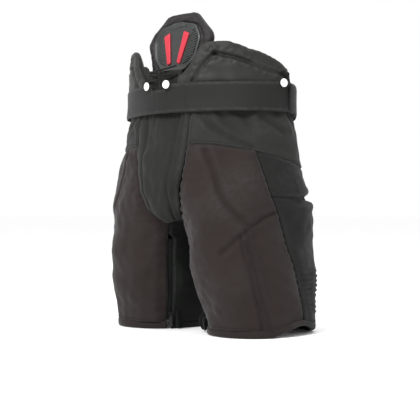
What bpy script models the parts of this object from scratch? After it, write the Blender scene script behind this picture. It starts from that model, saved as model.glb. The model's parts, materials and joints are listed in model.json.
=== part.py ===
"""Ice hockey pants for a senior player, standing empty on their leg hems.

The garment is one shell of sewn panels around two thigh tubes and a waist. Foam pads and plastic
guards sit inside and above it. Metres, +Z up, the wearer faces -Y and the wearer's left is +X.
"""

import math

import bmesh
import bpy
from mathutils import Matrix, Vector

# Driving dimensions
BELT_LOW, BELT_HIGH = 0.403, 0.457
GUSSET_LOW = 0.200            # lower end of the front gusset, at the crotch
HEM_HEIGHT = 0.013            # height of the hem binding
SIDE_SPLIT_Z = 0.250          # seam between the upper and lower side panels
SHELL_WALL = 0.011            # outer fabric with its sewn foam
SEAM_GAP = 0.0016             # groove between two sewn panels, across a level seam
SEAM_ANGLE = 0.7              # half the groove at an upright seam, in degrees around the body
TOUCH_GAP = 0.0005            # clearance between pieces that rest on each other
CENTRE_Y = 0.0150             # moves the body so that its box is centred on the origin

# The half section of the body at several heights. Each row is: height, centre x, half width, centre y,
# depth of the front, depth of the back, hollow of the empty waist's back, roundness, front seam angle.
SECTIONS = (
    (0.000, 0.123, 0.088, 0.000, 0.108, 0.106, 0.000, 2.20, -49.0),
    (0.018, 0.123, 0.088, 0.000, 0.108, 0.106, 0.000, 2.20, -49.0),
    (0.080, 0.113, 0.091, 0.000, 0.127, 0.120, 0.000, 2.20, -51.0),
    (0.155, 0.105, 0.092, 0.000, 0.139, 0.125, 0.000, 2.15, -50.0),
    (0.218, 0.092, 0.108, 0.000, 0.141, 0.122, 0.004, 2.10, -36.0),
    (0.270, 0.060, 0.142, -0.002, 0.143, 0.114, 0.020, 2.00, -6.0),
    (0.340, 0.030, 0.165, -0.002, 0.143, 0.092, 0.070, 1.85, 13.0),
    (0.430, 0.000, 0.187, -0.010, 0.133, 0.075, 0.145, 1.75, 23.0),
    (0.600, 0.000, 0.187, -0.010, 0.133, 0.075, 0.145, 1.75, 23.0),
)

# Seam lines on the body, as (height, angle) or (angle, height) pairs. Angle 0 is the front, 90 the
# outer side, 180 the back and -90 the inner thigh.
THIGH_SEAM = ((0.000, 99.0), (0.100, 94.0), (0.220, 86.0), (0.345, 66.0))
YOKE_SEAM = ((0.0, 0.348), (30.0, 0.346), (66.0, 0.337), (125.0, 0.302), (180.0, 0.300))
INNER_SEAM = ((0.000, 228.0), (0.160, 222.0), (0.212, 210.0))
HEM_LIFT = ((60.0, 0.0), (98.0, 0.018), (118.0, 0.011), (150.0, 0.0))
HEM_LIFT_TOP = 0.120          # the hem is cut higher at the outer side, which fades out at this height
BACK_SEAM_ANGLE = 142.0       # side panels end and the seat and back panels begin
ZIP_SEAM_ANGLE = 7.0          # width of the zip's slot between thigh panel and inner thigh panel
INNER_TOP_Z = 0.186
BACK_TOP_Z = 0.212
HIP_PAD_TOP = ((14.0, 0.463), (23.0, 0.493), (31.0, 0.528), (40.0, 0.534), (60.0, 0.520), (90.0, 0.493), (112.0, 0.475))
KIDNEY_PAD_TOP = ((118.0, 0.480), (140.0, 0.500), (158.0, 0.512))

# Pads and guards
PAD_WALL, PAD_STAND_OFF = 0.016, 0.002
HIP_PAD_FRONT, HIP_PAD_REAR = 15.0, 112.0
THIGH_GUARD_ANGLES, THIGH_GUARD_HEIGHTS = (2.0, 62.0), (0.040, 0.300)
HIP_CAP_ANGLES, HIP_CAP_HEIGHTS = (70.0, 128.0), (0.270, 0.385)
TAILBONE_HEIGHTS = (0.275, 0.370)
KIDNEY_PAD_FRONT, KIDNEY_PAD_REAR = 116.0, 157.0
GUARD_WALL, FOAM_WALL, GUARD_CLEARANCE = 0.003, 0.008, 0.003
TAILBONE_HALF, TAILBONE_WALL, TAILBONE_CLEARANCE = 0.045, 0.005, 0.008
CUP_BULGE = 0.010
CROTCH_HALF, CROTCH_WALL = 0.022, 0.005
CROTCH_ARCH, CROTCH_FALL = 0.006, 0.004
YOKE_UNDER_BELT = 0.046       # how far the shell runs up behind the belt
SPINE_HINGE_Z, SPINE_LEAN = 0.448, math.radians(9.0)
SPINE_Y = -0.093              # back face of the spine pad at its hinge, before centring
ANCHOR_HALF, ANCHOR_HEIGHTS = 0.028, (0.410, 0.440)
ANCHOR_WALL, ANCHOR_CLEARANCE = 0.002, 0.0025
SPINE_PAD_DEPTH, SHIELD_DEPTH, INSERT_DEPTH = 0.018, 0.005, 0.003
SPINE_OUTLINE = ((0.052, 0.000), (0.068, 0.048), (0.084, 0.094), (0.078, 0.108), (0.035, 0.148))
SHIELD_OUTLINE = ((0.028, 0.036), (0.052, 0.060), (0.060, 0.096), (0.044, 0.121), (0.012, 0.127))
INSERT_OUTLINE = ((0.008, 0.050), (0.015, 0.047), (0.033, 0.104), (0.019, 0.110))

# Belt, fasteners and zips
BELT_WALL, BELT_STAND_OFF = 0.004, 0.0032
BELT_NOTCH_DEPTH, BELT_NOTCH_HALF, BELT_SEGMENTS = 0.010, 0.016, 72
TAB_WALL, TAB_FLARE, TAB_DROP = 0.003, 0.018, 0.018
TAB_START, TAB_END = 91.0, 124.0
LOOP_WALL, LOOP_REACH, LOOP_CLEARANCE = 0.002, 0.006, 0.0036
LOOP_START, LOOP_END = 145.0, 150.0
BUTTON_RADIUS, BUTTON_DEPTH = 0.0078, 0.004
BUTTON_Z, BUTTON_CLEARANCE = 0.4545, 0.0026
BUTTON_ANGLES = (("front", 9.5), ("side", 83.0), ("back", 165.0))
ZIP_LOW, ZIP_HIGH = 0.016, 0.172
TAPE_WIDTH, TAPE_DEPTH, TAPE_OFFSET = 0.0070, 0.0024, -0.0030
SLIDER_SIZE, SLIDER_REST, SLIDER_OFFSET = (0.0085, 0.0045, 0.0130), 0.0110, 0.0035
PULL_SIZE, PULL_CLEARANCE = (0.0065, 0.0018, 0.0240), 0.0016
LACE_RADIUS, LACE_ROWS, LACE_STEPS = 0.0016, 3, 7
LACE_HALF, LACE_LOW, LACE_PITCH = 0.037, 0.466, 0.0085
LACE_BOW, LACE_STAND_OFF = 0.004, 0.0075

COLOURS = {
    "thigh_cloth": ((0.030, 0.021, 0.022), 0.75, 0.0),
    "shell_cloth": ((0.022, 0.023, 0.023), 0.80, 0.0),
    "stretch_cloth": ((0.028, 0.030, 0.030), 0.85, 0.0),
    "dark_cloth": ((0.010, 0.013, 0.012), 0.85, 0.0),
    "belt_web": ((0.024, 0.025, 0.026), 0.60, 0.0),
    "pad_cloth": ((0.024, 0.024, 0.025), 0.55, 0.0),
    "shield_plastic": ((0.060, 0.062, 0.064), 0.35, 0.0),
    "red_insert": ((0.620, 0.020, 0.045), 0.45, 0.0),
    "white_plastic": ((0.850, 0.850, 0.850), 0.40, 0.0),
    "guard_plastic": ((0.120, 0.120, 0.125), 0.45, 0.0),
    "foam": ((0.180, 0.180, 0.185), 0.90, 0.0),
    "zip_metal": ((0.045, 0.045, 0.048), 0.35, 0.8),
    "lace_cord": ((0.018, 0.018, 0.018), 0.80, 0.0),
}


def clear_scene():
    for obj in list(bpy.data.objects):
        bpy.data.objects.remove(obj, do_unlink=True)


def new_collection(name):
    collection = bpy.data.collections.new(name)
    bpy.context.scene.collection.children.link(collection)
    return collection


def new_material(name):
    colour, roughness, metallic = COLOURS[name]
    material = bpy.data.materials.new(name)
    material.use_nodes = True
    shader = material.node_tree.nodes["Principled BSDF"]
    shader.inputs["Base Color"].default_value = (*colour, 1.0)
    shader.inputs["Roughness"].default_value = roughness
    shader.inputs["Metallic"].default_value = metallic
    return material


def blend_points(x, points):
    """A smooth curve through (x, value) pairs, with the end slopes of the straight runs."""
    if x <= points[0][0]:
        return points[0][1]
    if x >= points[-1][0]:
        return points[-1][1]
    slopes = []
    for before, after in zip(points, points[1:]):
        slopes.append((after[1] - before[1]) / (after[0] - before[0]))
    tangents = [slopes[0]]
    for left, right in zip(slopes, slopes[1:]):
        tangents.append(0.0 if left * right <= 0.0 else 2.0 * left * right / (left + right))
    tangents.append(slopes[-1])
    index = max(i for i in range(len(points) - 1) if points[i][0] <= x)
    (x0, y0), (x1, y1) = points[index], points[index + 1]
    span = x1 - x0
    s = (x - x0) / span
    rise = s * s * (3.0 - 2.0 * s)
    return (
        y0 + (y1 - y0) * rise
        + tangents[index] * span * (s - 2.0 * s * s + s**3)
        + tangents[index + 1] * span * (s**3 - s * s)
    )


def section_value(column, z):
    return blend_points(z, [(row[0], row[column]) for row in SECTIONS])


def power(value, exponent):
    return math.copysign(abs(value) ** exponent, value)


def hem_lift(angle, z):
    fade = max(0.0, 1.0 - z / HEM_LIFT_TOP)
    return blend_points(angle, HEM_LIFT) * fade * fade


def outline_point(angle, z):
    """The outer skin of the left half at an angle in degrees and a height."""
    centre_x, half_width, centre_y = (section_value(c, z) for c in (1, 2, 3))
    front, back, hollow = (section_value(c, z) for c in (4, 5, 6))
    turn = math.radians(angle)
    # The back half is elliptical above the legs, so the empty waist keeps a soft fold at its sides.
    roundness = section_value(7, z) if math.cos(turn) >= 0.0 else max(2.0, section_value(7, z))
    across = power(math.sin(turn), 2.0 / roundness)
    along = power(math.cos(turn), 2.0 / roundness)
    x = centre_x + half_width * across
    if along >= 0.0:
        y = centre_y - front * along
    else:
        reach = 1.0 - min(1.0, abs(x) / (centre_x + half_width)) ** 2
        y = centre_y - back * along - hollow * reach * reach
    return Vector((x, y + CENTRE_Y, z + hem_lift(angle, z)))


def skin_point(angle, z, offset=0.0):
    """A point on the skin moved outwards by the offset."""
    point = outline_point(angle, z)
    if offset == 0.0:
        return point
    step = 1.0
    along = outline_point(angle + step, z) - outline_point(angle - step, z)
    up = outline_point(angle, z + 0.004) - outline_point(angle, z - 0.004)
    return point + along.cross(up).normalized() * offset


def front_seam(z):
    """Angle of the seam between the thigh panel and the front gusset or inner thigh panel."""
    return section_value(8, z)


def mix(a, b, share):
    return a + (b - a) * share


def add_object(name, mesh, material, collection):
    mesh.materials.append(material)
    mesh.shade_smooth()
    obj = bpy.data.objects.new(name, mesh)
    collection.objects.link(obj)
    return obj


def solidify(obj, thickness, offset=-1.0):
    modifier = obj.modifiers.new("wall", "SOLIDIFY")
    modifier.thickness = thickness
    modifier.offset = offset
    modifier.use_quality_normals = True


def grid_mesh(name, surface, counts):
    """A grid laid on surface(u, v)."""
    mesh = bpy.data.meshes.new(name)
    grid = bmesh.new()
    bmesh.ops.create_grid(grid, x_segments=counts[0], y_segments=counts[1], size=1.0)
    for vertex in grid.verts:
        vertex.co = surface((vertex.co.x + 1.0) / 2.0, (vertex.co.y + 1.0) / 2.0)
    grid.to_mesh(mesh)
    grid.free()
    return mesh


def skin_patch(name, place, counts, offsets, material, parts, side=1.0):
    """A panel that follows the skin between two offsets. Its edges run square to the skin, so that
    neighbours keep an even groove. place(u, v) gives an angle and a height on the left half."""
    outer, inner = max(offsets), min(offsets)
    mesh = bpy.data.meshes.new(name)
    slab = bmesh.new()
    bmesh.ops.create_grid(slab, x_segments=counts[0], y_segments=counts[1], size=1.0)
    raised = bmesh.ops.extrude_face_region(slab, geom=slab.faces[:], use_keep_orig=True)["geom"]
    for vertex in (item for item in raised if isinstance(item, bmesh.types.BMVert)):
        vertex.co.z = 1.0
    bmesh.ops.recalc_face_normals(slab, faces=slab.faces)
    for vertex in slab.verts:
        angle, z = place((vertex.co.x + 1.0) / 2.0, (vertex.co.y + 1.0) / 2.0)
        point = skin_point(angle, z, outer if vertex.co.z > 0.5 else inner)
        vertex.co = Vector((side * point.x, point.y, point.z))
    if side < 0.0:
        bmesh.ops.reverse_faces(slab, faces=slab.faces)
    slab.to_mesh(mesh)
    slab.free()
    return add_object(name, mesh, material, parts)


def pair(name, place, counts, offsets, material, parts):
    """The left and right copies of one panel."""
    skin_patch(f"left_{name}", place, counts, offsets, material, parts, 1.0)
    skin_patch(f"right_{name}", place, counts, offsets, material, parts, -1.0)


def on_yoke_seam(angle_at):
    """Height at which a line of constant share, whose angle depends on height, meets the yoke seam."""
    z = 0.330
    for _ in range(8):
        z = blend_points(angle_at(z), YOKE_SEAM)
    return z


def thigh_place(u, v):
    def angle_at(z):
        return mix(front_seam(z) + SEAM_ANGLE, blend_points(z, THIGH_SEAM) - SEAM_ANGLE, u)

    z = mix(HEM_HEIGHT + SEAM_GAP, on_yoke_seam(angle_at) - SEAM_GAP, v)
    return angle_at(z), z


def yoke_place(u, v):
    def angle_at(z):
        return mix(front_seam(z) + SEAM_ANGLE, BACK_SEAM_ANGLE - SEAM_ANGLE, u)

    z = mix(on_yoke_seam(angle_at), BELT_LOW + YOKE_UNDER_BELT, v)
    return angle_at(z), z


def upper_side_place(u, v):
    def angle_at(z):
        return mix(blend_points(z, THIGH_SEAM) + SEAM_ANGLE, BACK_SEAM_ANGLE - SEAM_ANGLE, u)

    z = mix(SIDE_SPLIT_Z + SEAM_GAP, on_yoke_seam(angle_at) - SEAM_GAP, v)
    return angle_at(z), z


def lower_side_place(u, v):
    z = mix(HEM_HEIGHT + SEAM_GAP, SIDE_SPLIT_Z, v)
    return mix(blend_points(z, THIGH_SEAM) + SEAM_ANGLE, BACK_SEAM_ANGLE - SEAM_ANGLE, u), z


def back_thigh_place(u, v):
    z = mix(HEM_HEIGHT + SEAM_GAP, BACK_TOP_Z - SEAM_GAP, v)
    return mix(BACK_SEAM_ANGLE + SEAM_ANGLE, blend_points(z, INNER_SEAM) - SEAM_ANGLE, u), z


def inner_thigh_place(u, v):
    z = mix(HEM_HEIGHT + SEAM_GAP, INNER_TOP_Z, v)
    return mix(blend_points(z, INNER_SEAM) + SEAM_ANGLE, 360.0 + front_seam(z) - ZIP_SEAM_ANGLE, u), z


def hem_place(u, v):
    start = front_seam(0.0) + SEAM_ANGLE
    return mix(start, start + 360.0 - ZIP_SEAM_ANGLE, u), HEM_HEIGHT * v


def seat_edge(z):
    """Half the width of the centre back seam, which opens to the crotch gusset below."""
    return blend_points(z, ((BACK_TOP_Z, 0.030), (0.250, 0.014), (0.300, 0.004)))


def angle_at_x(x, z):
    """Angle on the back of the skin where it comes within x of the centre plane."""
    low, high = 120.0, 250.0
    for _ in range(30):
        middle = (low + high) / 2.0
        if outline_point(middle, z).x > x:
            low = middle
        else:
            high = middle
    return low


def seat_place(u, v):
    z = mix(BACK_TOP_Z, BELT_LOW + YOKE_UNDER_BELT, v)
    return mix(BACK_SEAM_ANGLE + SEAM_ANGLE, angle_at_x(seat_edge(z), z), u), z


def front_gusset_surface(u, v):
    """The cup panel between the two thigh panels. It bulges forwards."""
    z = mix(GUSSET_LOW, BELT_HIGH - 0.004, v)
    edge = skin_point(front_seam(z) - 2.0 * SEAM_ANGLE, z)
    across = 2.0 * u - 1.0
    bulge = CUP_BULGE * (1.0 - across * across) * math.sin(math.pi * min(1.0, 0.15 + v))
    return Vector((edge.x * across, edge.y - max(0.0, bulge), z))


def crotch_surface(u, v):
    """The saddle that runs under the crotch from the front gusset to the seat seam."""
    front = skin_point(front_seam(GUSSET_LOW), GUSSET_LOW)
    rear = skin_point(angle_at_x(seat_edge(BACK_TOP_Z), BACK_TOP_Z), BACK_TOP_Z)
    across = 2.0 * u - 1.0
    rise = CROTCH_ARCH * math.sin(math.pi * v) - CROTCH_FALL * across * across
    y = mix(front.y + SHELL_WALL + 0.003, rear.y - SHELL_WALL - 0.003, v)
    return Vector((-CROTCH_HALF * across, y, GUSSET_LOW + 0.002 + rise))


def make_shell(materials, parts):
    wall = (0.0, -SHELL_WALL)
    pair("thigh_panel", thigh_place, (12, 9), wall, materials["thigh_cloth"], parts)
    pair("hip_yoke", yoke_place, (12, 3), wall, materials["shell_cloth"], parts)
    pair("upper_side_panel", upper_side_place, (6, 2), wall, materials["stretch_cloth"], parts)
    pair("lower_side_panel", lower_side_place, (5, 6), wall, materials["stretch_cloth"], parts)
    pair("back_thigh_panel", back_thigh_place, (7, 6), wall, materials["shell_cloth"], parts)
    pair("inner_thigh_panel", inner_thigh_place, (7, 5), wall, materials["dark_cloth"], parts)
    pair("seat_panel", seat_place, (7, 6), wall, materials["shell_cloth"], parts)
    pair("hem_binding", hem_place, (32, 1), wall, materials["dark_cloth"], parts)
    gusset = add_object(
        "front_gusset",
        grid_mesh("front_gusset", front_gusset_surface, (6, 9)),
        materials["shell_cloth"],
        parts,
    )
    solidify(gusset, SHELL_WALL)
    saddle = add_object(
        "crotch_gusset", grid_mesh("crotch_gusset", crotch_surface, (3, 6)), materials["dark_cloth"], parts
    )
    solidify(saddle, CROTCH_WALL)


def belt_top(x):
    """The belt dips in a shallow notch between the two front buttons."""
    share = min(1.0, max(0.0, (abs(x) - BELT_NOTCH_HALF) / 0.006))
    return BELT_HIGH - BELT_NOTCH_DEPTH * (1.0 - share)


def make_belt(materials, parts):
    """A wide band around the waist: a thick ring laid on the skin, angle by angle."""
    mesh = bpy.data.meshes.new("belt")
    ring = bmesh.new()
    bmesh.ops.create_cone(
        ring, segments=BELT_SEGMENTS, radius1=1.0, radius2=1.0, depth=2.0, cap_ends=False
    )
    raised = bmesh.ops.extrude_face_region(ring, geom=ring.faces[:], use_keep_orig=True)["geom"]
    for vertex in (item for item in raised if isinstance(item, bmesh.types.BMVert)):
        vertex.co = Vector((2.0 * vertex.co.x, 2.0 * vertex.co.y, vertex.co.z))
    bmesh.ops.recalc_face_normals(ring, faces=ring.faces)
    for vertex in ring.verts:
        angle = math.degrees(math.atan2(abs(vertex.co.x), -vertex.co.y))
        side = math.copysign(1.0, vertex.co.x)
        offset = BELT_STAND_OFF + (BELT_WALL if vertex.co.xy.length > 1.5 else 0.0)
        z = BELT_LOW
        if vertex.co.z > 0.0:
            z = belt_top(skin_point(angle, BELT_HIGH).x if angle < 90.0 else 1.0)
        at = skin_point(angle, z, offset)
        on_centre = angle < 0.1 or angle > 179.9
        vertex.co = Vector((0.0 if on_centre else side * at.x, at.y, z))
    ring.to_mesh(mesh)
    ring.free()
    add_object("belt", mesh, materials["belt_web"], parts)


def make_belt_tab(materials, parts):
    """The belt's loose end lies on the belt and flares away from it at its tip."""
    stand_off = BELT_STAND_OFF + BELT_WALL + 4.0 * TOUCH_GAP

    def tab_surface(u, v):
        z = mix(BELT_LOW + 0.001, BELT_HIGH - 0.002, v)
        at = skin_point(mix(TAB_START, TAB_END, u), z, stand_off + TAB_FLARE * u**3)
        return at - Vector((0.0, 0.0, TAB_DROP * u * u))

    hinge = tab_surface(0.0, 0.5)
    joint = bpy.data.objects.new("belt_tab_hinge", None)
    joint.location = hinge
    parts.objects.link(joint)
    tab = add_object("belt_tab", grid_mesh("belt_tab", tab_surface, (8, 2)), materials["belt_web"], parts)
    for vertex in tab.data.vertices:
        vertex.co -= hinge
    solidify(tab, TAB_WALL, 1.0)
    tab.parent = joint


def make_belt_loops(materials, parts):
    """Two loops behind the hips keep the belt on the waist."""
    inner = BELT_STAND_OFF + BELT_WALL + LOOP_CLEARANCE

    def loop_place(u, v):
        return mix(LOOP_START, LOOP_END, u), mix(BELT_LOW - LOOP_REACH, BELT_HIGH + LOOP_REACH, v)

    pair("belt_loop", loop_place, (1, 3), (inner, inner + LOOP_WALL), materials["shell_cloth"], parts)


def hip_pad_place(u, v):
    angle = mix(HIP_PAD_FRONT, HIP_PAD_REAR, u)
    return angle, mix(BELT_HIGH + 0.002, blend_points(angle, HIP_PAD_TOP), v)


def kidney_pad_place(u, v):
    angle = mix(KIDNEY_PAD_FRONT, KIDNEY_PAD_REAR, u)
    return angle, mix(BELT_HIGH + 0.002, blend_points(angle, KIDNEY_PAD_TOP), v)


def inner_place(angles, heights):
    """A guard or foam that follows the inside of the shell."""
    return lambda u, v: (mix(*angles, u), mix(*heights, v))


def make_pads(materials, parts):
    pad = (PAD_STAND_OFF, PAD_STAND_OFF - PAD_WALL)
    pair("hip_pad", hip_pad_place, (14, 3), pad, materials["pad_cloth"], parts)
    pair("kidney_pad", kidney_pad_place, (6, 3), pad, materials["pad_cloth"], parts)
    guard = (-SHELL_WALL - GUARD_CLEARANCE, -SHELL_WALL - GUARD_CLEARANCE - GUARD_WALL)
    foam = (guard[1] - 0.001, guard[1] - 0.001 - FOAM_WALL)
    thigh = inner_place(THIGH_GUARD_ANGLES, THIGH_GUARD_HEIGHTS)
    hip = inner_place(HIP_CAP_ANGLES, HIP_CAP_HEIGHTS)
    pair("thigh_guard", thigh, (6, 5), guard, materials["guard_plastic"], parts)
    pair("thigh_foam", thigh, (6, 5), foam, materials["foam"], parts)
    pair("hip_cap", hip, (5, 3), guard, materials["guard_plastic"], parts)
    under_seat = -SHELL_WALL - TAILBONE_CLEARANCE
    plastic = materials["guard_plastic"]
    back_strip(
        "tailbone_guard", TAILBONE_HALF, TAILBONE_HEIGHTS, under_seat, TAILBONE_WALL, plastic, parts
    )


def back_strip(name, half, heights, offset, wall, material, parts):
    """A flat piece across the centre back, lying inside the shell at an offset from its skin."""

    def strip_surface(u, v):
        z = mix(*heights, v)
        x = half * (1.0 - 2.0 * u)
        at = skin_point(angle_at_x(abs(x), z), z, offset)
        return Vector((x, at.y, at.z))

    strip = add_object(name, grid_mesh(name, strip_surface, (4, 4)), material, parts)
    solidify(strip, wall)


def flat_plate(name, outline, depth, material, parts):
    """A plate cut to an outline in its own XY plane."""
    curve = bpy.data.curves.new(name, "CURVE")
    curve.dimensions = "2D"
    curve.fill_mode = "BOTH"
    curve.extrude = depth / 2.0
    spline = curve.splines.new("POLY")
    spline.points.add(len(outline) - 1)
    for point, (x, y) in zip(spline.points, outline):
        point.co = (x, y, 0.0, 1.0)
    spline.use_cyclic_u = True
    curve.materials.append(material)
    plate = bpy.data.objects.new(name, curve)
    parts.objects.link(plate)
    return plate


def mirrored(half):
    return [*half, *[(-x, y) for x, y in reversed(half)]]


def make_spine_pad(materials, parts):
    """The spine pad, its shield and two inserts all tilt on one hinge line behind the belt."""
    behind_pad = -SHELL_WALL - ANCHOR_CLEARANCE
    web = materials["belt_web"]
    back_strip("spine_anchor", ANCHOR_HALF, ANCHOR_HEIGHTS, behind_pad, ANCHOR_WALL, web, parts)
    joint = bpy.data.objects.new("spine_pad_hinge", None)
    joint.location = (0.0, SPINE_Y + CENTRE_Y - SPINE_PAD_DEPTH / 2.0, SPINE_HINGE_Z)
    joint.rotation_euler = (math.pi / 2.0 - SPINE_LEAN, 0.0, 0.0)
    parts.objects.link(joint)
    pad = flat_plate("spine_pad", mirrored(SPINE_OUTLINE), SPINE_PAD_DEPTH, materials["pad_cloth"], parts)
    shield = flat_plate(
        "spine_shield", mirrored(SHIELD_OUTLINE), SHIELD_DEPTH, materials["shield_plastic"], parts
    )
    shield.location = (0.0, 0.0, (SPINE_PAD_DEPTH + SHIELD_DEPTH) / 2.0 + TOUCH_GAP)
    pad.parent = shield.parent = joint
    for label, side in (("left", 1.0), ("right", -1.0)):
        outline = [(side * x, y) for x, y in INSERT_OUTLINE]
        insert = flat_plate(f"{label}_spine_insert", outline, INSERT_DEPTH, materials["red_insert"], parts)
        depth = SPINE_PAD_DEPTH / 2.0 + SHIELD_DEPTH + INSERT_DEPTH / 2.0 + 2.0 * TOUCH_GAP
        insert.location = (0.0, 0.0, depth)
        insert.parent = joint


def make_button(name, at, outward, materials, parts):
    """A suspender button, its face turned outwards."""
    mesh = bpy.data.meshes.new(name)
    disc = bmesh.new()
    bmesh.ops.create_cone(
        disc,
        segments=20,
        radius1=BUTTON_RADIUS,
        radius2=0.8 * BUTTON_RADIUS,
        depth=BUTTON_DEPTH,
        cap_ends=True,
    )
    disc.to_mesh(mesh)
    disc.free()
    button = add_object(name, mesh, materials["white_plastic"], parts)
    mesh.set_sharp_from_angle(angle=math.radians(40.0))
    button.location = at
    button.rotation_mode = "QUATERNION"
    button.rotation_quaternion = outward.to_track_quat("Z", "Y")


def make_buttons(materials, parts):
    reach = BELT_STAND_OFF + BELT_WALL + BUTTON_DEPTH / 2.0 + BUTTON_CLEARANCE
    for label, angle in BUTTON_ANGLES:
        base = skin_point(angle, BUTTON_Z)
        outward = skin_point(angle, BUTTON_Z, reach) - base
        outward.z = 0.0
        at = base + outward.normalized() * reach
        at.z = BUTTON_Z
        for name, side in ((f"left_{label}_button", 1.0), (f"right_{label}_button", -1.0)):
            place = Vector((side * at.x, at.y, at.z))
            make_button(name, place, Vector((side * outward.x, outward.y, 0.0)), materials, parts)


def zip_point(z, offset):
    """A point on the straight zip line, which joins the slot at its two ends."""
    low = skin_point(front_seam(ZIP_LOW) - ZIP_SEAM_ANGLE / 2.0, ZIP_LOW, offset)
    high = skin_point(front_seam(ZIP_HIGH) - ZIP_SEAM_ANGLE / 2.0, ZIP_HIGH, offset)
    return low.lerp(high, (z - ZIP_LOW) / (ZIP_HIGH - ZIP_LOW))


def make_block(name, size, bevel, at, turn, material, parts):
    """A box with bevelled edges, its own Z along the zip and its Y away from the leg."""
    mesh = bpy.data.meshes.new(name)
    block = bmesh.new()
    bmesh.ops.create_cube(block, size=1.0)
    bmesh.ops.scale(block, vec=size, verts=block.verts)
    bmesh.ops.bevel(block, geom=block.edges, offset=bevel, segments=1, affect="EDGES")
    block.to_mesh(mesh)
    block.free()
    obj = add_object(name, mesh, material, parts)
    obj.location = at
    obj.rotation_euler = turn.to_euler()
    return obj


def make_zips(materials, parts):
    """An inner leg zip on each leg. Its slider rests at the hem and climbs to open the leg."""
    middle_z = (ZIP_LOW + ZIP_HIGH) / 2.0
    track = zip_point(ZIP_HIGH, 0.0) - zip_point(ZIP_LOW, 0.0)
    facing = zip_point(middle_z, 0.010) - zip_point(middle_z, 0.0)
    for label, side in (("left", 1.0), ("right", -1.0)):
        flip = Vector((side, 1.0, 1.0))
        along = (track * flip).normalized()
        across = (facing * flip).cross(along).normalized()
        outward = along.cross(across)
        turn = Matrix((across, outward, along)).transposed()
        middle = zip_point(middle_z, TAPE_OFFSET) * flip
        tape_size = (TAPE_WIDTH, TAPE_DEPTH, track.length)
        make_block(f"{label}_zip_tape", tape_size, 0.0003, middle, turn, materials["dark_cloth"], parts)
        slider_at = zip_point(ZIP_LOW + SLIDER_REST, SLIDER_OFFSET) * flip
        metal = materials["zip_metal"]
        slider = make_block(f"{label}_zip_slider", SLIDER_SIZE, 0.0008, slider_at, turn, metal, parts)
        hinge = Vector((0.0, SLIDER_SIZE[1] / 2.0 + PULL_SIZE[1] / 2.0 + PULL_CLEARANCE, 0.0))
        pull = make_block(f"{label}_zip_pull", PULL_SIZE, 0.0004, (0.0, 0.0, 0.0), turn, metal, parts)
        pull.data.transform(Matrix.Translation((0.0, 0.0, -PULL_SIZE[2] / 2.0 + PULL_SIZE[1])))
        pull.location = hinge
        pull.rotation_euler = (0.0, 0.0, 0.0)
        pull.parent = slider


def make_lace(materials, parts):
    """The fly lace runs to and fro between the front edges of the two hip pads."""
    curve = bpy.data.curves.new("fly_lace", "CURVE")
    curve.dimensions = "3D"
    curve.bevel_depth = LACE_RADIUS
    curve.bevel_resolution = 2
    curve.use_fill_caps = True
    front = skin_point(0.0, BELT_HIGH).y - LACE_STAND_OFF
    points = []
    for row in range(LACE_ROWS):
        for step in range(LACE_STEPS):
            share = step / (LACE_STEPS - 1)
            x = LACE_HALF * (2.0 * share - 1.0) * (1.0 if row % 2 == 0 else -1.0)
            bow = LACE_BOW * (1.0 - (x / LACE_HALF) ** 2)
            z = LACE_LOW + LACE_PITCH * (row + 0.75 * share) - bow
            points.append(Vector((x, front + 0.35 * abs(x), z)))
    spline = curve.splines.new("POLY")
    spline.points.add(len(points) - 1)
    for target, point in zip(spline.points, points):
        target.co = (*point, 1.0)
    curve.materials.append(materials["lace_cord"])
    parts.objects.link(bpy.data.objects.new("fly_lace", curve))


def main():
    clear_scene()
    parts = new_collection("hockey_pants")
    materials = {name: new_material(name) for name in COLOURS}
    make_shell(materials, parts)
    make_belt(materials, parts)
    make_belt_tab(materials, parts)
    make_belt_loops(materials, parts)
    make_pads(materials, parts)
    make_spine_pad(materials, parts)
    make_buttons(materials, parts)
    make_zips(materials, parts)
    make_lace(materials, parts)


main()
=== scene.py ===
"""Looks for the ice hockey pants: sewn panels, pads, belt, plastics, zips and their materials.

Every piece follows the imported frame. The body's skin is the same set of sections as the CAD model, and
each piece is laid on it by an angle (0 front, 90 outer side, 180 back, 270 inner thigh) and a height.
"""

import json
import math

import bmesh
import bpy
import numpy as np
from mathutils import Matrix, Vector
from mathutils.bvhtree import BVHTree


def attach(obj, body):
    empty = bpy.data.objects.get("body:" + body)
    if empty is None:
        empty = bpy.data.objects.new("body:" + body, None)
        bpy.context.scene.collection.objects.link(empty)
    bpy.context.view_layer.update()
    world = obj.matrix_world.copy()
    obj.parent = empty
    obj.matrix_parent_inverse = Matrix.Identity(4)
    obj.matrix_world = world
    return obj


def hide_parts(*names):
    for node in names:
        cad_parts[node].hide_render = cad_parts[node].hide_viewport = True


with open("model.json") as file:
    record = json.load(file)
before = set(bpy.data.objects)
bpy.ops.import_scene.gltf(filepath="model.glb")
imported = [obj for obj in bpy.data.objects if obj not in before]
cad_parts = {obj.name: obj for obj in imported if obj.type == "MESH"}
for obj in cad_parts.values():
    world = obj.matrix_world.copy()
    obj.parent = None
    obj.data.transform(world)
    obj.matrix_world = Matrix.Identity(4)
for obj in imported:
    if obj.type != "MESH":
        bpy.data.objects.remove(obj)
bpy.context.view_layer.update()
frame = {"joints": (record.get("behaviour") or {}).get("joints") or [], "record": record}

# The body's sections, as in the CAD model: height, centre x, half width, centre y, front depth, back
# depth, hollow of the back, roundness, front seam angle.
CENTRE_Y = 0.0150
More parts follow.
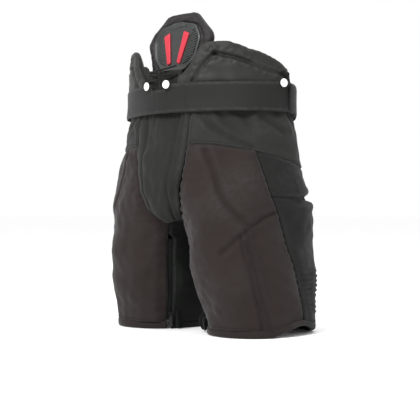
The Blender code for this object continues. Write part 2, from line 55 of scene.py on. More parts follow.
SECTIONS = (
    (0.000, 0.123, 0.088, 0.000, 0.108, 0.106, 0.000, 2.20, -49.0),
    (0.018, 0.123, 0.088, 0.000, 0.108, 0.106, 0.000, 2.20, -49.0),
    (0.080, 0.113, 0.091, 0.000, 0.127, 0.120, 0.000, 2.20, -51.0),
    (0.155, 0.105, 0.092, 0.000, 0.139, 0.125, 0.000, 2.15, -50.0),
    (0.218, 0.092, 0.108, 0.000, 0.141, 0.122, 0.004, 2.10, -36.0),
    (0.270, 0.060, 0.142, -0.002, 0.143, 0.114, 0.020, 2.00, -6.0),
    (0.340, 0.030, 0.165, -0.002, 0.143, 0.092, 0.070, 1.85, 13.0),
    (0.430, 0.000, 0.187, -0.010, 0.133, 0.075, 0.145, 1.75, 23.0),
    (0.600, 0.000, 0.187, -0.010, 0.133, 0.075, 0.145, 1.75, 23.0),
)
# The seams: (height, angle) pairs for the upright ones, (angle, height) pairs for the level ones.
FRONT_SEAM = ((0.000, -49.0), (0.080, -51.0), (0.155, -50.0), (0.198, -47.0), (0.214, -36.0),
              (0.234, -19.0), (0.270, -3.0), (0.340, 14.0), (0.430, 24.0), (0.600, 24.0))
THIGH_SEAM = ((0.000, 99.0), (0.064, 95.5), (0.119, 91.0), (0.173, 83.0), (0.222, 74.0), (0.253, 68.0),
              (0.297, 62.5), (0.345, 57.5))
YOKE_SEAM = ((0.0, 0.347), (30.0, 0.344), (59.0, 0.332), (86.0, 0.316), (125.0, 0.301), (180.0, 0.300))
INNER_SEAM = ((0.000, 228.0), (0.160, 222.0), (0.212, 210.0))
HIP_PAD_TOP = ((14.0, 0.463), (23.0, 0.493), (31.0, 0.528), (40.0, 0.534), (60.0, 0.520), (90.0, 0.493),
               (112.0, 0.475))
KIDNEY_PAD_TOP = ((118.0, 0.480), (140.0, 0.500), (158.0, 0.512))
HEM_LIFT = ((60.0, 0.0), (98.0, 0.018), (118.0, 0.011), (150.0, 0.0))
HEM_LIFT_TOP = 0.120          # the hem is cut higher at the outer side, which fades out at this height
BACK_SEAM_ANGLE = 142.0
BELT_LOW, BELT_HIGH = 0.403, 0.457
HEM_HEIGHT = 0.013            # top of the hem's binding, where the panels start
YOKE_TOP = BELT_HIGH - 0.003  # the panels run up behind the belt
SIDE_SPLIT_Z = 0.250
BACK_TOP_Z = 0.212
GUSSET_LOW = 0.209
WALL = 0.0105                 # thickness of a sewn panel, with its foam
GRID = 0.0045                 # spacing of a panel's mesh
SIDES = (("left", 1.0), ("right", -1.0))


def curve(x, points):
    """A smooth curve through (x, value) pairs, the same as the CAD model's."""
    x = np.asarray(x, float)
    knots, values = np.array(points, float).T
    span = np.diff(knots)
    slope = np.diff(values) / span
    total = slope[:-1] + slope[1:]
    same = slope[:-1] * slope[1:] > 0.0
    middle = np.where(same, 2.0 * slope[:-1] * slope[1:] / np.where(same, total, 1.0), 0.0)
    tangent = np.concatenate([slope[:1], middle, slope[-1:]])
    i = np.clip(np.searchsorted(knots, x, side="right") - 1, 0, len(knots) - 2)
    s = np.clip((x - knots[i]) / span[i], 0.0, 1.0)
    rise = s * s * (3.0 - 2.0 * s)
    bend = tangent[i] * (s - 2.0 * s * s + s**3) + tangent[i + 1] * (s**3 - s * s)
    return values[i] + (values[i + 1] - values[i]) * rise + span[i] * bend


def section(column, z):
    """One column of SECTIONS at a height."""
    return curve(z, [(row[0], row[column]) for row in SECTIONS])


def front_seam(z):
    """Angle of the front seam. Where it turns in under the cup panel it is drawn finer than in CAD."""
    return curve(z, FRONT_SEAM)


def hem_lift(angle, z):
    fade = np.maximum(0.0, 1.0 - z / HEM_LIFT_TOP) ** 2
    return curve(np.clip(angle, HEM_LIFT[0][0], HEM_LIFT[-1][0]), HEM_LIFT) * fade


def outline(angle, z):
    angle, z = np.broadcast_arrays(np.asarray(angle, float), np.asarray(z, float))
    centre_x, half, centre_y, front, back, hollow, roundness = (section(c, z) for c in range(1, 8))
    turn = np.radians(angle)
    sine, cosine = np.sin(turn), np.cos(turn)
    roundness = np.where(cosine >= 0.0, roundness, np.maximum(2.0, roundness))
    across = np.sign(sine) * np.abs(sine) ** (2.0 / roundness)
    along = np.sign(cosine) * np.abs(cosine) ** (2.0 / roundness)
    x = centre_x + half * across
    reach = 1.0 - np.minimum(1.0, np.abs(x) / (centre_x + half)) ** 2
    behind = centre_y - back * along - hollow * reach * reach
    y = np.where(along >= 0.0, centre_y - front * along, behind)
    return np.stack([x, y + CENTRE_Y, z + hem_lift(angle, z)], -1)


def skin_normal(angle, z):
    around = outline(np.asarray(angle) + 1.0, z) - outline(np.asarray(angle) - 1.0, z)
    up = outline(angle, np.asarray(z) + 0.004) - outline(angle, np.asarray(z) - 0.004)
    normal = np.cross(around, up)
    return normal / np.linalg.norm(normal, axis=-1, keepdims=True)


def skin(angle, z, offset=0.0):
    return outline(angle, z) + skin_normal(angle, z) * np.asarray(offset, float)[..., None]


def mix(a, b, share):
    return a + (b - a) * share


def ramp(x, low, high):
    """A smooth step from 0 at low to 1 at high."""
    s = np.clip((np.asarray(x, float) - low) / (high - low), 0.0, 1.0)
    return s * s * (3.0 - 2.0 * s)


def waves(points, length, seed, count=14):
    """Soft random undulation, about -1 to 1, from plane waves of roughly one wavelength."""
    rng = np.random.default_rng(seed)
    total = np.zeros(points.shape[:-1])
    for _ in range(count):
        direction = rng.normal(size=3)
        direction /= np.linalg.norm(direction)
        k = 2.0 * math.pi / (length * rng.uniform(0.7, 1.5))
        total += np.sin(points @ direction * k + rng.uniform(0.0, 2.0 * math.pi))
    return total / math.sqrt(count)


def on_skin(line, offset=0.0, step=0.004):
    """A polyline of (angle, z) knots, made smooth and laid on the skin."""
    line = np.array(line, float)
    knots = np.linspace(0.0, 1.0, len(line))
    rough = skin(line[:, 0], line[:, 1], 0.0)
    length = np.linalg.norm(np.diff(rough, axis=0), axis=1).sum()
    t = np.linspace(0.0, 1.0, max(4, int(length / step)))
    angle = curve(t, list(zip(knots, line[:, 0])))
    z = curve(t, list(zip(knots, line[:, 1])))
    return skin(angle, z, np.full_like(z, offset))


def distance_to(points, line):
    """Distance from each point to a polyline."""
    flat = points.reshape(-1, 3)
    best = np.full(len(flat), 1e9)
    for a, b in zip(line[:-1], line[1:]):
        run = b - a
        share = np.clip((flat - a) @ run / max(run @ run, 1e-12), 0.0, 1.0)
        gap = flat - (a + share[:, None] * run)
        best = np.minimum(best, np.einsum("ij,ij->i", gap, gap))
    return np.sqrt(best).reshape(points.shape[:-1])


def bell(distance, width):
    return np.exp(-((distance / width) ** 2))


# ---------------------------------------------------------------- materials


class Shader:
    """A small helper round one material's node tree."""

    def __init__(self, name):
        self.material = bpy.data.materials.new(name)
        self.material.use_nodes = True
        self.tree = self.material.node_tree
        self.main = self.tree.nodes["Principled BSDF"]

    def node(self, kind, inputs=None, **settings):
        made = self.tree.nodes.new(kind)
        for key, value in settings.items():
            setattr(made, key, value)
        for key, value in (inputs or {}).items():
            self.feed(made.inputs[key], value)
        return made

    def feed(self, socket, value):
        if isinstance(value, bpy.types.NodeSocket):
            self.tree.links.new(value, socket)
        else:
            socket.default_value = value

    def math(self, operation, a, b=0.0):
        return self.node("ShaderNodeMath", {0: a, 1: b}, operation=operation).outputs[0]

    def streaks(self, at, scale):
        stretched = self.node("ShaderNodeMapping", {"Vector": at, "Scale": scale}).outputs[0]
        return self.noise(stretched, 1.0)

    def noise(self, at, scale, detail=3.0):
        found = self.node("ShaderNodeTexNoise", {"Vector": at, "Scale": scale, "Detail": detail})
        return found.outputs["Fac"]

    def remap(self, value, low, high, start=0.0, end=1.0):
        inputs = {"Value": value, "From Min": start, "From Max": end, "To Min": low, "To Max": high}
        return self.node("ShaderNodeMapRange", inputs).outputs["Result"]

    def blend(self, share, a, b):
        made = self.node("ShaderNodeMix", data_type="RGBA")
        for socket, value in ((made.inputs[0], share), (made.inputs[6], a), (made.inputs[7], b)):
            self.feed(socket, value)
        return made.outputs[2]

    def bump(self, height, strength, distance, normal=None):
        inputs = {"Height": height, "Strength": strength, "Distance": distance}
        if normal is not None:
            inputs["Normal"] = normal
        return self.node("ShaderNodeBump", inputs).outputs["Normal"]

    def set(self, **values):
        for key, value in values.items():
            self.feed(self.main.inputs[key.replace("_", " ")], value)


def rgba(colour, gain=1.0):
    return (*[min(1.0, c * gain) for c in colour], 1.0)


def surface_place(shader, laid):
    """Coordinates in metres: along the cloth where a panel carries them, otherwise the object's own."""
    if laid:
        return shader.node("ShaderNodeAttribute", attribute_name="cloth").outputs["Vector"]
    return shader.node("ShaderNodeTexCoord").outputs["Object"]


WAVE_TURN = 20.0              # a wave texture's phase for one unit at scale 1


def threads(shader, place, axis, pitch):
    scale = 2.0 * math.pi / WAVE_TURN / pitch
    inputs = {"Vector": place, "Scale": scale, "Distortion": 0.35, "Detail": 1.0, "Detail Scale": 2.0}
    found = shader.node("ShaderNodeTexWave", inputs, bands_direction=axis, wave_type="BANDS")
    return found.outputs["Fac"]


def woven(name, colour, pitch, laid=True, sheen=0.05, rough=(0.70, 0.86), grain=0.16, rib=0.0, depth=1.0):
    """Woven or knitted cloth: crossing threads, uneven dye, a painted highlight on high spots and beside
    seams, and soft sheen.
    """
    s = Shader(name)
    place = surface_place(s, laid)
    warp = threads(s, place, "X", pitch)
    weft = threads(s, place, "Y", pitch * (1.0 + rib))
    weave = s.math("MULTIPLY", s.math("ADD", warp, weft), 0.5)
    speckle = s.noise(place, 900.0, 2.0)
    cloudy = s.noise(place, 9.0, 4.0)
    slub = s.streaks(place, (30.0, 420.0, 30.0))
    tone = s.math("ADD", s.math("MULTIPLY", weave, 0.35), s.math("MULTIPLY", speckle, 0.40))
    tone = s.math("ADD", tone, s.math("MULTIPLY", slub, 0.25))
    base = s.blend(tone, rgba(colour, 1.0 - grain), rgba(colour, 1.0 + grain))
    base = s.blend(s.remap(cloudy, 0.0, 0.35, 0.40, 0.75), base, rgba(colour, 1.22))
    # painted highlight: the cloth is made paler where the mesh attribute marks high ridges and seam edges,
    # broken up by noise
    highlight_share = s.node("ShaderNodeAttribute", attribute_name="painted_highlight").outputs["Fac"]
    highlight_spots = s.math("MULTIPLY", highlight_share, s.remap(s.noise(place, 120.0), 0.2, 0.9, 0.35, 0.65))
    pale = [0.55 * c + 0.045 for c in colour]
    base = s.blend(s.math("MULTIPLY", highlight_spots, 0.55), base, rgba(pale))
    fine = s.bump(weave, 0.45 * depth, 0.00035)
    creased = s.bump(s.noise(place, 55.0, 5.0), 0.22 * depth, 0.0012, fine)
    s.set(Base_Color=base, Normal=creased, Roughness=s.remap(speckle, *rough, 0.3, 0.7))
    s.set(Sheen_Weight=sheen, Sheen_Roughness=0.45, Specular_IOR_Level=0.14)
    s.main.inputs["Sheen Tint"].default_value = (0.9, 0.9, 0.95, 1.0)
    return s.material


def coated(name, colour, rough=(0.48, 0.64)):
    """Coated nylon over foam: a fine pebble, with a low satin gloss."""
    s = Shader(name)
    place = surface_place(s, False)
    pebble = s.noise(place, 1100.0, 2.0)
    cloudy = s.noise(place, 14.0, 4.0)
    base = s.blend(s.remap(cloudy, 0.0, 1.0, 0.35, 0.7), rgba(colour, 0.88), rgba(colour, 1.16))
    # painted highlight: a little paler where the mesh attribute marks raised ridges and edges
    highlight_share = s.node("ShaderNodeAttribute", attribute_name="painted_highlight").outputs["Fac"]
    base = s.blend(s.math("MULTIPLY", highlight_share, 0.30), base, rgba([c + 0.02 for c in colour]))
    grain = s.bump(pebble, 0.30, 0.0003)
    soft = s.bump(s.noise(place, 42.0, 5.0), 0.20, 0.0014, grain)
    s.set(Base_Color=base, Normal=soft, Roughness=s.remap(pebble, *rough, 0.3, 0.7))
    s.set(Sheen_Weight=0.04, Sheen_Roughness=0.5, Specular_IOR_Level=0.22)
    return s.material


def moulded(name, colour, rough=(0.30, 0.45), metallic=0.0, coat=0.0, scratch=0.10, grain=0.15):
    """Moulded plastic or enamelled metal: fine texture and faint paler scuffs."""
    s = Shader(name)
    place = surface_place(s, False)
    pebble = s.noise(place, 1500.0, 2.0)
    scuffs = s.streaks(place, (90.0, 900.0, 240.0))
    cloudy = s.noise(place, 30.0, 4.0)
    base = s.blend(s.remap(cloudy, 0.0, 1.0, 0.3, 0.7), rgba(colour, 0.93), rgba(colour, 1.06))
    mark = s.math("MULTIPLY", s.remap(scuffs, 0.0, 1.0, 0.62, 0.80), scratch)
    base = s.blend(mark, base, rgba([0.5 * c + 0.30 for c in colour]))
    s.set(Base_Color=base, Metallic=metallic, Roughness=s.remap(scuffs, *rough, 0.3, 0.75))
    s.set(Normal=s.bump(pebble, grain, 0.0002), Coat_Weight=coat, Coat_Roughness=0.2, Specular_IOR_Level=0.5)
    return s.material


def foamed(name, colour):
    """Closed-cell foam: small open pores in a matte skin."""
    s = Shader(name)
    place = surface_place(s, False)
    inputs = {"Vector": place, "Scale": 520.0}
    cells = s.node("ShaderNodeTexVoronoi", inputs).outputs["Distance"]
    cloudy = s.noise(place, 20.0, 4.0)
    base = s.blend(s.remap(cells, 0.0, 1.0, 0.1, 0.6), rgba(colour, 0.72), rgba(colour, 1.08))
    base = s.blend(s.remap(cloudy, 0.0, 0.4, 0.4, 0.7), base, rgba(colour, 1.15))
    s.set(Base_Color=base, Normal=s.bump(cells, 0.35, 0.0006), Roughness=s.remap(cells, 0.95, 0.82))
    return s.material


MATERIALS = {
    "thigh": woven("thigh_weave", (0.0152, 0.0106, 0.0097), 0.0012, sheen=0.10),
    "shell": woven("shell_weave", (0.0140, 0.0143, 0.0129), 0.0010, sheen=0.07),
    "stretch": woven("stretch_knit", (0.0070, 0.0072, 0.0066), 0.0014, rib=1.2, sheen=0.06, depth=1.3),
    "dark": woven("dark_nylon", (0.0040, 0.0050, 0.0040), 0.0010, sheen=0.02),
    "gusset": woven("gusset_knit", (0.0110, 0.0115, 0.0096), 0.0009, sheen=0.06),
    "lining": woven("lining_mesh", (0.0080, 0.0083, 0.0086), 0.0022, sheen=0.03, grain=0.45, depth=2.0),
    "belt": woven("belt_webbing", (0.0095, 0.0095, 0.0090), 0.0022, rib=-0.5, rough=(0.5, 0.66), depth=1.6),
    "strap": woven("strap_webbing", (0.0040, 0.0040, 0.0043), 0.0020, rib=-0.4, sheen=0.03, depth=1.6),
    "lace": woven("lace_braid", (0.0060, 0.0060, 0.0063), 0.0012, laid=False, sheen=0.03, depth=1.8),
    "thread": woven("stitch_thread", (0.0150, 0.0140, 0.0135), 0.0006, laid=False, sheen=0.08),
    "pad": coated("pad_nylon", (0.0110, 0.0108, 0.0102)),
    "spine": coated("spine_nylon", (0.0080, 0.0065, 0.0064)),
    "shield": moulded("shield_moulding", (0.0125, 0.0140, 0.0134), (0.30, 0.46), coat=0.10),
    "red": moulded("red_moulding", (0.40, 0.012, 0.028), (0.32, 0.45), scratch=0.05),
    "white": moulded("white_moulding", (0.70, 0.70, 0.69), (0.24, 0.36), coat=0.2, scratch=0.04),
    "guard": moulded("guard_sheet", (0.11, 0.11, 0.115), (0.40, 0.55)),
    "foam": foamed("foam_cells", (0.17, 0.17, 0.175)),
    "metal": moulded("zip_enamel", (0.014, 0.014, 0.015), (0.25, 0.45), metallic=0.7),
    "pull": moulded("pull_rubber", (0.006, 0.006, 0.007), (0.45, 0.60)),
}


# ---------------------------------------------------------------- mesh tools


def make_object(name, points, faces, materials, slots=None, floats=None, cloth=None):
    """An object from points and faces, with a material index, per-point values and cloth coordinates."""
    mesh = bpy.data.meshes.new(name)
    mesh.from_pydata([tuple(p) for p in points], [], [tuple(int(i) for i in f) for f in faces])
    for material in materials:
        mesh.materials.append(material)
    if slots is not None:
        mesh.polygons.foreach_set("material_index", np.asarray(slots, np.int32))
    if cloth is not None:
        field = mesh.attributes.new("cloth", "FLOAT_VECTOR", "POINT")
        field.data.foreach_set("vector", np.asarray(cloth, np.float32).ravel())
    for key, values in (floats or {}).items():
        field = mesh.attributes.new(key, "FLOAT", "POINT")
        field.data.foreach_set("value", np.asarray(values, np.float32))
    mesh.shade_smooth()
    obj = bpy.data.objects.new(name, mesh)
    bpy.context.scene.collection.objects.link(obj)
    return obj


def place_piece(obj, nodes=(), body="shell"):
    """What every piece has: the body it rides on and the nodes it stands for."""
    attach(obj, body)
    if nodes:
        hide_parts(*nodes)
    return obj


def grid_faces(rows, columns, wrap_rows=False, wrap_columns=True):
    """Four-sided faces of a grid of points, joined end to end where it wraps."""
    index = np.arange(rows * columns).reshape(rows, columns)
    if wrap_rows:
        index = np.vstack([index, index[:1]])
    if wrap_columns:
        index = np.hstack([index, index[:, :1]])
    corners = (index[:-1, :-1], index[1:, :-1], index[1:, 1:], index[:-1, 1:])
    return np.stack(corners, -1).reshape(-1, 4)


def slab_faces(rows, columns):
    """Faces of a closed slab of two grids: outer points first, then inner ones."""
    index = np.arange(rows * columns).reshape(rows, columns)
    quads = grid_faces(rows, columns, wrap_columns=False)
    under = quads[:, ::-1] + rows * columns
    rim = np.concatenate([index[:, 0], index[-1, 1:], index[-2::-1, -1], index[0, -2:0:-1]])
    rim_in = rim + rows * columns
    walls = np.stack([rim, rim_in, np.roll(rim_in, -1), np.roll(rim, -1)], -1)
    return quads, under, walls


def laid_flat(across, up):
    """Cloth coordinates for a piece that is nearly flat."""
    return np.stack([across, up, np.zeros_like(up)], -1)


def slab(name, outer, inner, cloth, painted_highlight, materials, side):
    """A closed piece between two grids of points. The second material is on its inner face."""
    rows, columns = outer.shape[:2]
    quads, under, walls = slab_faces(rows, columns)
    points = np.concatenate([outer.reshape(-1, 3), inner.reshape(-1, 3)]) * (side, 1.0, 1.0)
    faces = np.concatenate([quads, under, walls])
    slots = np.concatenate([np.zeros(len(quads)), np.ones(len(under)), np.zeros(len(walls))])
    fan = points[faces[: len(quads)]]
    normal = np.cross(fan[:, 1] - fan[:, 0], fan[:, 2] - fan[:, 0]).sum(0)
    outward = (outer.reshape(-1, 3) - inner.reshape(-1, 3)).sum(0) * (side, 1.0, 1.0)
    if normal @ outward < 0.0:
        faces = faces[:, ::-1]
    laid = np.concatenate([cloth.reshape(-1, 3), cloth.reshape(-1, 3)])
    # painted highlight values for the outer face only; the inner face gets none
    highlight_values = np.concatenate([painted_highlight.ravel(), np.zeros(rows * columns)])
    return make_object(name, points, faces, materials, slots, {"painted_highlight": highlight_values}, laid)


class Patch:
    """A grid on the skin with its angles, heights and distances to its four edges, in metres."""

    def __init__(self, place, grid=GRID):
        u, v = np.meshgrid(np.linspace(0, 1, 9), np.linspace(0, 1, 9), indexing="ij")
        rough = skin(*place(u, v), np.zeros_like(u))
        wide = np.linalg.norm(np.diff(rough, axis=0), axis=-1).sum(0).max()
        tall = np.linalg.norm(np.diff(rough, axis=1), axis=-1).sum(1).max()
        counts = (max(4, int(wide / grid)), max(4, int(tall / grid)))
        u, v = np.meshgrid(np.linspace(0, 1, counts[0]), np.linspace(0, 1, counts[1]), indexing="ij")
        self.angle, self.z = np.broadcast_arrays(*place(u, v))
        self.u, self.v = u, v
        self.base = skin(self.angle, self.z, np.zeros_like(u))
        self.normal = skin_normal(self.angle, self.z)
        across = np.linalg.norm(np.diff(self.base, axis=0, prepend=self.base[:1]), axis=-1).cumsum(0)
        up = np.linalg.norm(np.diff(self.base, axis=1, prepend=self.base[:, :1]), axis=-1).cumsum(1)
        self.left, self.right = across, across[-1:] - across
        self.low, self.high = up, up[:, -1:] - up
        self.cloth = laid_flat(across, up)

    def edge(self):
        """Distance to the nearest seam. A panel that ends at the hem has no seam there."""
        nearest = np.minimum(np.minimum(self.left, self.right), self.high)
        return nearest if self.z.min() < HEM_HEIGHT + 0.001 else np.minimum(nearest, self.low)

    def groove(self, line, depth, width):
        """A sewn groove along a line, with the slight swell of the cloth on both sides of it."""
        gap = distance_to(self.base, on_skin(line))
        return -depth * bell(gap, width) + 0.30 * depth * bell(gap - 2.6 * width, 1.4 * width)


def seam_roll(patch, depth, width):
    """Panels turn in where they are sewn to their neighbours."""
    edge = patch.edge()
    return -depth * (1.0 - ramp(edge, 0.0, width)) + 0.0012 * ramp(edge, width, 5.0 * width)


def panel(name, patch, relief, materials, node, side, inner=-WALL):
    """One sewn panel: its outer face follows the relief, its inner face is the lining."""
    outer = patch.base + patch.normal * relief[..., None]
    back = patch.base + patch.normal * inner
    outer[..., 0] = np.maximum(outer[..., 0], 0.0004)
    back[..., 0] = np.maximum(back[..., 0], 0.0006)
    high = relief - relief.min()
    # painted highlight on the panel's highest relief and in a thin line just inside its seams
    painted_highlight = np.clip(high / max(high.max(), 1e-6) - 0.55, 0.0, 1.0) + 0.5 * bell(patch.edge() - 0.003, 0.0015)
    made = slab(name, outer, back, patch.cloth, painted_highlight, materials, side)
    return place_piece(made, [node])


# ---------------------------------------------------------------- the shell


def zip_slot(z):
    """Width of the zip's opening, in degrees. It closes above the zip."""
    return 5.0 * (1.0 - ramp(z, 0.172, 0.182))


def beside_zip(z):
    """The inner thigh panel ends at the zip's far edge, a turn on from the front seam."""
    return 360.0 + front_seam(z) - zip_slot(z) - 0.4


def centre_angle(z):
    """Angle at which the back of the skin reaches the centre plane."""
    low, high = np.full_like(z, 130.0), np.full_like(z, 262.0)
    for _ in range(26):
        middle = (low + high) / 2.0
        outside = outline(middle, z)[..., 0] > 0.0005
        low, high = np.where(outside, middle, low), np.where(outside, high, middle)
    return low


def thigh_seam(z):
    return curve(z, THIGH_SEAM)


def inner_seam(z):
    return curve(z, INNER_SEAM)


def yoke_seam(angle):
    return curve(angle, YOKE_SEAM)


def level(seam, at):
    """A seam's value: it is a number or a function of where it is."""
    return seam(at) if callable(seam) else seam


def between(left, right, low, high):
    """A place on the skin for shares u across and v up, between upright seams and level ones."""

    def place(u, v):
        z = mix(level(low, 60.0), level(high, 60.0), v)
        for _ in range(6):
            angle = mix(level(left, z), level(right, z), u)
            z = mix(level(low, angle), level(high, angle), v)
        return mix(level(left, z), level(right, z), u), z

    return place


def gathers(patch, from_edge, reach, height, pitch, seed):
    """Small creases that start at a seam and fade into the panel."""
    drift = 0.35 * waves(patch.base, 0.05, seed) + 0.25 * waves(patch.base, 0.018, seed + 1)
    crease = np.sin(2.0 * math.pi * patch.z / pitch + 2.2 * drift + 18.0 * from_edge)
    patchy = 0.55 + 0.45 * waves(patch.base, 0.05, seed + 2)
    return height * crease * np.exp(-from_edge / reach) * np.clip(patchy, 0.0, 1.3)


def cloth_waves(patch, seed, broad, fine):
    settle = ramp(patch.edge(), 0.0, 0.02)
    return settle * (broad * waves(patch.base, 0.085, seed) + fine * waves(patch.base, 0.024, seed + 5))


# The thigh panel's sewn lines, as (angle, height) knots.
TUCK = ((72.0, 0.223), (60.0, 0.210), (50.0, 0.196), (41.5, 0.181), (30.0, 0.161), (21.0, 0.150))
PAD_EDGE = ((27.0, 0.334), (29.0, 0.300), (30.0, 0.262), (32.0, 0.238), (38.0, 0.220), (47.5, 0.203))
FRONT_CHANNEL = ((42.5, 0.179), (47.0, 0.122), (49.5, 0.069), (48.5, 0.016))
REAR_CHANNEL = ((47.0, 0.188), (52.0, 0.122), (55.0, 0.069), (55.0, 0.016))
SOFT_FOLD = ((54.5, 0.190), (61.0, 0.118), (64.0, 0.040))
# Each groove: its line, depth and width.
THIGH_GROOVES = ((PAD_EDGE, 0.0058, 0.0050), (TUCK, 0.0044, 0.0034), (FRONT_CHANNEL, 0.0036, 0.0030),
                 (REAR_CHANNEL, 0.0026, 0.0026))
YOKE_DART = ((28.0, 0.402), (31.0, 0.387), (38.5, 0.366), (47.5, 0.350), (57.0, 0.338))
YOKE_CREASE = ((66.0, 0.393), (74.0, 0.380), (83.0, 0.366))
YOKE_GROOVES = ((YOKE_DART, 0.0046, 0.0040), (YOKE_CREASE, 0.0046, 0.0050))
# Gathers: the edge they start from, their reach, height and pitch, a step of the seed, and the heights
# between which they fade in.
THIGH_GATHERS = (
    ("left", 0.034, 0.0032, 0.0150, 20, (0.12, 0.19)),
    ("left", 0.020, 0.0014, 0.0210, 25, None),
    ("right", 0.018, 0.0015, 0.0140, 30, None),
)
BACK_GATHERS = (("right", 0.024, 0.0022, 0.0160, 11, None),)
INNER_GATHERS = (("right", 0.020, 0.0016, 0.0130, 9, (0.10, 0.17)),)
PANEL_ROLL = (0.0030, 0.0050)  # depth and width of the roll where a panel is sewn
INNER_ROLL = (0.0024, 0.0040)


def sewn_cloth(patch, seed, broad, fine, grooves=(), gathered=(), roll=PANEL_ROLL):
    """What every panel has: rolled seams, soft undulation, sewn grooves and gathers at its edges."""
    relief = seam_roll(patch, *roll) + cloth_waves(patch, seed, broad, fine)
    for line, depth, width in grooves:
        relief += patch.groove(line, depth, width)
    for edge, reach, height, pitch, step, fade in gathered:
        creases = gathers(patch, getattr(patch, edge), reach, height, pitch, seed + step)
        relief += creases if fade is None else creases * ramp(patch.z, *fade)
    return relief


def thigh_relief(patch, seed):
    """The thigh panel is fullest over its foam, and has one soft upright fold."""
    relief = sewn_cloth(patch, seed, 0.0026, 0.0007, THIGH_GROOVES, THIGH_GATHERS)
    relief -= 0.0060 * bell(distance_to(patch.base, on_skin(SOFT_FOLD)), 0.0120)
    pad_middle = skin(50.0, 0.270, 0.0)
    relief += 0.0040 * bell(np.linalg.norm(patch.base - pad_middle, axis=-1), 0.050)
    relief -= 0.0020 * bell(patch.low, 0.012)
    return relief


def yoke_relief(patch, seed):
    relief = sewn_cloth(patch, seed, 0.0026, 0.0006, YOKE_GROOVES)
    drapes_per_turn = 22.0
    drape = np.sin(np.radians(patch.angle) * drapes_per_turn + 2.5 * waves(patch.base, 0.07, seed + 3))
    relief += 0.0024 * drape * ramp(patch.z, 0.350, 0.400)
    pinch = 0.0030            # the belt pulls the yoke in below its lower edge
    relief -= pinch * ramp(patch.z, 0.385, BELT_LOW - 0.001)
    return relief


def side_relief(patch, seed):
    """The stretch panels, with the fold notch between them and ribs near the hem."""
    relief = sewn_cloth(patch, seed, 0.0024, 0.0006)
    notch = patch.z - (SIDE_SPLIT_Z - 0.002 + 0.004 * np.sin(np.radians(patch.angle * 3.0)))
    deep = ramp(patch.angle, 78.0, 104.0)
    relief += deep * (-0.0100 * bell(notch, 0.0060) + 0.0046 * bell(np.abs(notch) - 0.015, 0.009))
    ribbed = ramp(patch.z, 0.022, 0.040) * (1.0 - ramp(patch.z, 0.105, 0.125))
    ribbed = ribbed * ramp(patch.left, 0.004, 0.014)
    rib_pitch = 0.0085
    height = patch.z + 0.002 * waves(patch.base, 0.05, seed)
    relief += 0.0018 * ribbed * np.sin(2.0 * math.pi * height / rib_pitch)
    return relief


def back_relief(patch, seed):
    return sewn_cloth(patch, seed, 0.0028, 0.0006, gathered=BACK_GATHERS)


def inner_relief(patch, seed):
    return sewn_cloth(patch, seed, 0.0024, 0.0006, gathered=INNER_GATHERS, roll=INNER_ROLL)


# Each panel: its name, place, relief, material, slot, CAD node and seed.
PANELS = (
    ("thigh", between(front_seam, thigh_seam, HEM_HEIGHT, yoke_seam),
     thigh_relief, "thigh", "thigh_cloth", "thigh_panel", 11),
    ("yoke", between(front_seam, BACK_SEAM_ANGLE, yoke_seam, YOKE_TOP),
     yoke_relief, "shell", "shell_cloth", "hip_yoke", 23),
    ("upper_side", between(thigh_seam, BACK_SEAM_ANGLE, SIDE_SPLIT_Z, yoke_seam),
     side_relief, "stretch", "stretch_cloth", "upper_side_panel", 37),
    ("lower_side", between(thigh_seam, BACK_SEAM_ANGLE, HEM_HEIGHT, SIDE_SPLIT_Z),
     side_relief, "stretch", "stretch_cloth", "lower_side_panel", 41),
    ("back_thigh", between(BACK_SEAM_ANGLE, inner_seam, HEM_HEIGHT, BACK_TOP_Z),
     back_relief, "shell", "shell_cloth", "back_thigh_panel", 53),
    ("inner_thigh", between(inner_seam, beside_zip, HEM_HEIGHT, BACK_TOP_Z + 0.002),
     inner_relief, "dark", "dark_cloth", "inner_thigh_panel", 67),
    ("seat", between(BACK_SEAM_ANGLE, centre_angle, BACK_TOP_Z, YOKE_TOP),
     back_relief, "shell", "shell_cloth", "seat_panel", 79),
)


def make_panels():
    for title, place, relief, material, slot, node, seed in PANELS:
        patch = Patch(place)
        for shift, (label, side) in enumerate(SIDES):
            cloths = [MATERIALS[material], MATERIALS["lining"]]
            heights = relief(patch, seed + 100 * shift)
            panel(f"{label}_{title}_cloth", patch, heights, cloths, f"{label}_{node}", side)


def hem_cloth(angle):
    """The hem is bound in the cloth of the panel above it: 0 thigh, 1 side and back, 2 inner thigh."""
    if angle < 99.0:
        return 0
    return 1 if angle < 228.0 else 2


def make_hems():
    """A folded binding round each leg: a rounded tube section, flat underneath."""
    start = float(front_seam(0.0))
    angles = np.linspace(start, start + 360.0 - 5.0, 150)
    low, high = 0.0, HEM_HEIGHT + 0.0015
    turns = np.linspace(0.0, 2.0 * math.pi, 17)[:-1]
    corner = 0.55
    offsets = -WALL / 2.0 + (WALL / 2.0 + 0.0006) * np.sign(np.cos(turns)) * np.abs(np.cos(turns)) ** corner
    upright = np.sign(np.sin(turns)) * np.abs(np.sin(turns)) ** corner
    heights = (low + high) / 2.0 + (high - low) / 2.0 * upright
    angle, offset = np.meshgrid(angles, offsets, indexing="ij")
    z = np.broadcast_to(heights, angle.shape)
    points = skin(angle, z, offset + 0.0004 * waves(outline(angle, z), 0.03, 5))
    points[..., 2] = z + hem_lift(angle, z)
    faces = grid_faces(*angle.shape)
    slots = np.repeat([hem_cloth(a) for a in angles[:-1]], len(turns))
    cloth = np.stack([np.radians(angle) * 0.1, z, offset], -1).reshape(-1, 3)
    cloths = [MATERIALS["thigh"], MATERIALS["stretch"], MATERIALS["dark"]]
    for label, side in SIDES:
        turned = faces if side < 0.0 else faces[:, ::-1]
        placed = points.reshape(-1, 3) * (side, 1, 1)
        made = make_object(f"{label}_hem_fold", placed, turned, cloths, slots, None, cloth)
        cap_open_ends(made)
        place_piece(made, [f"{label}_hem_binding"])


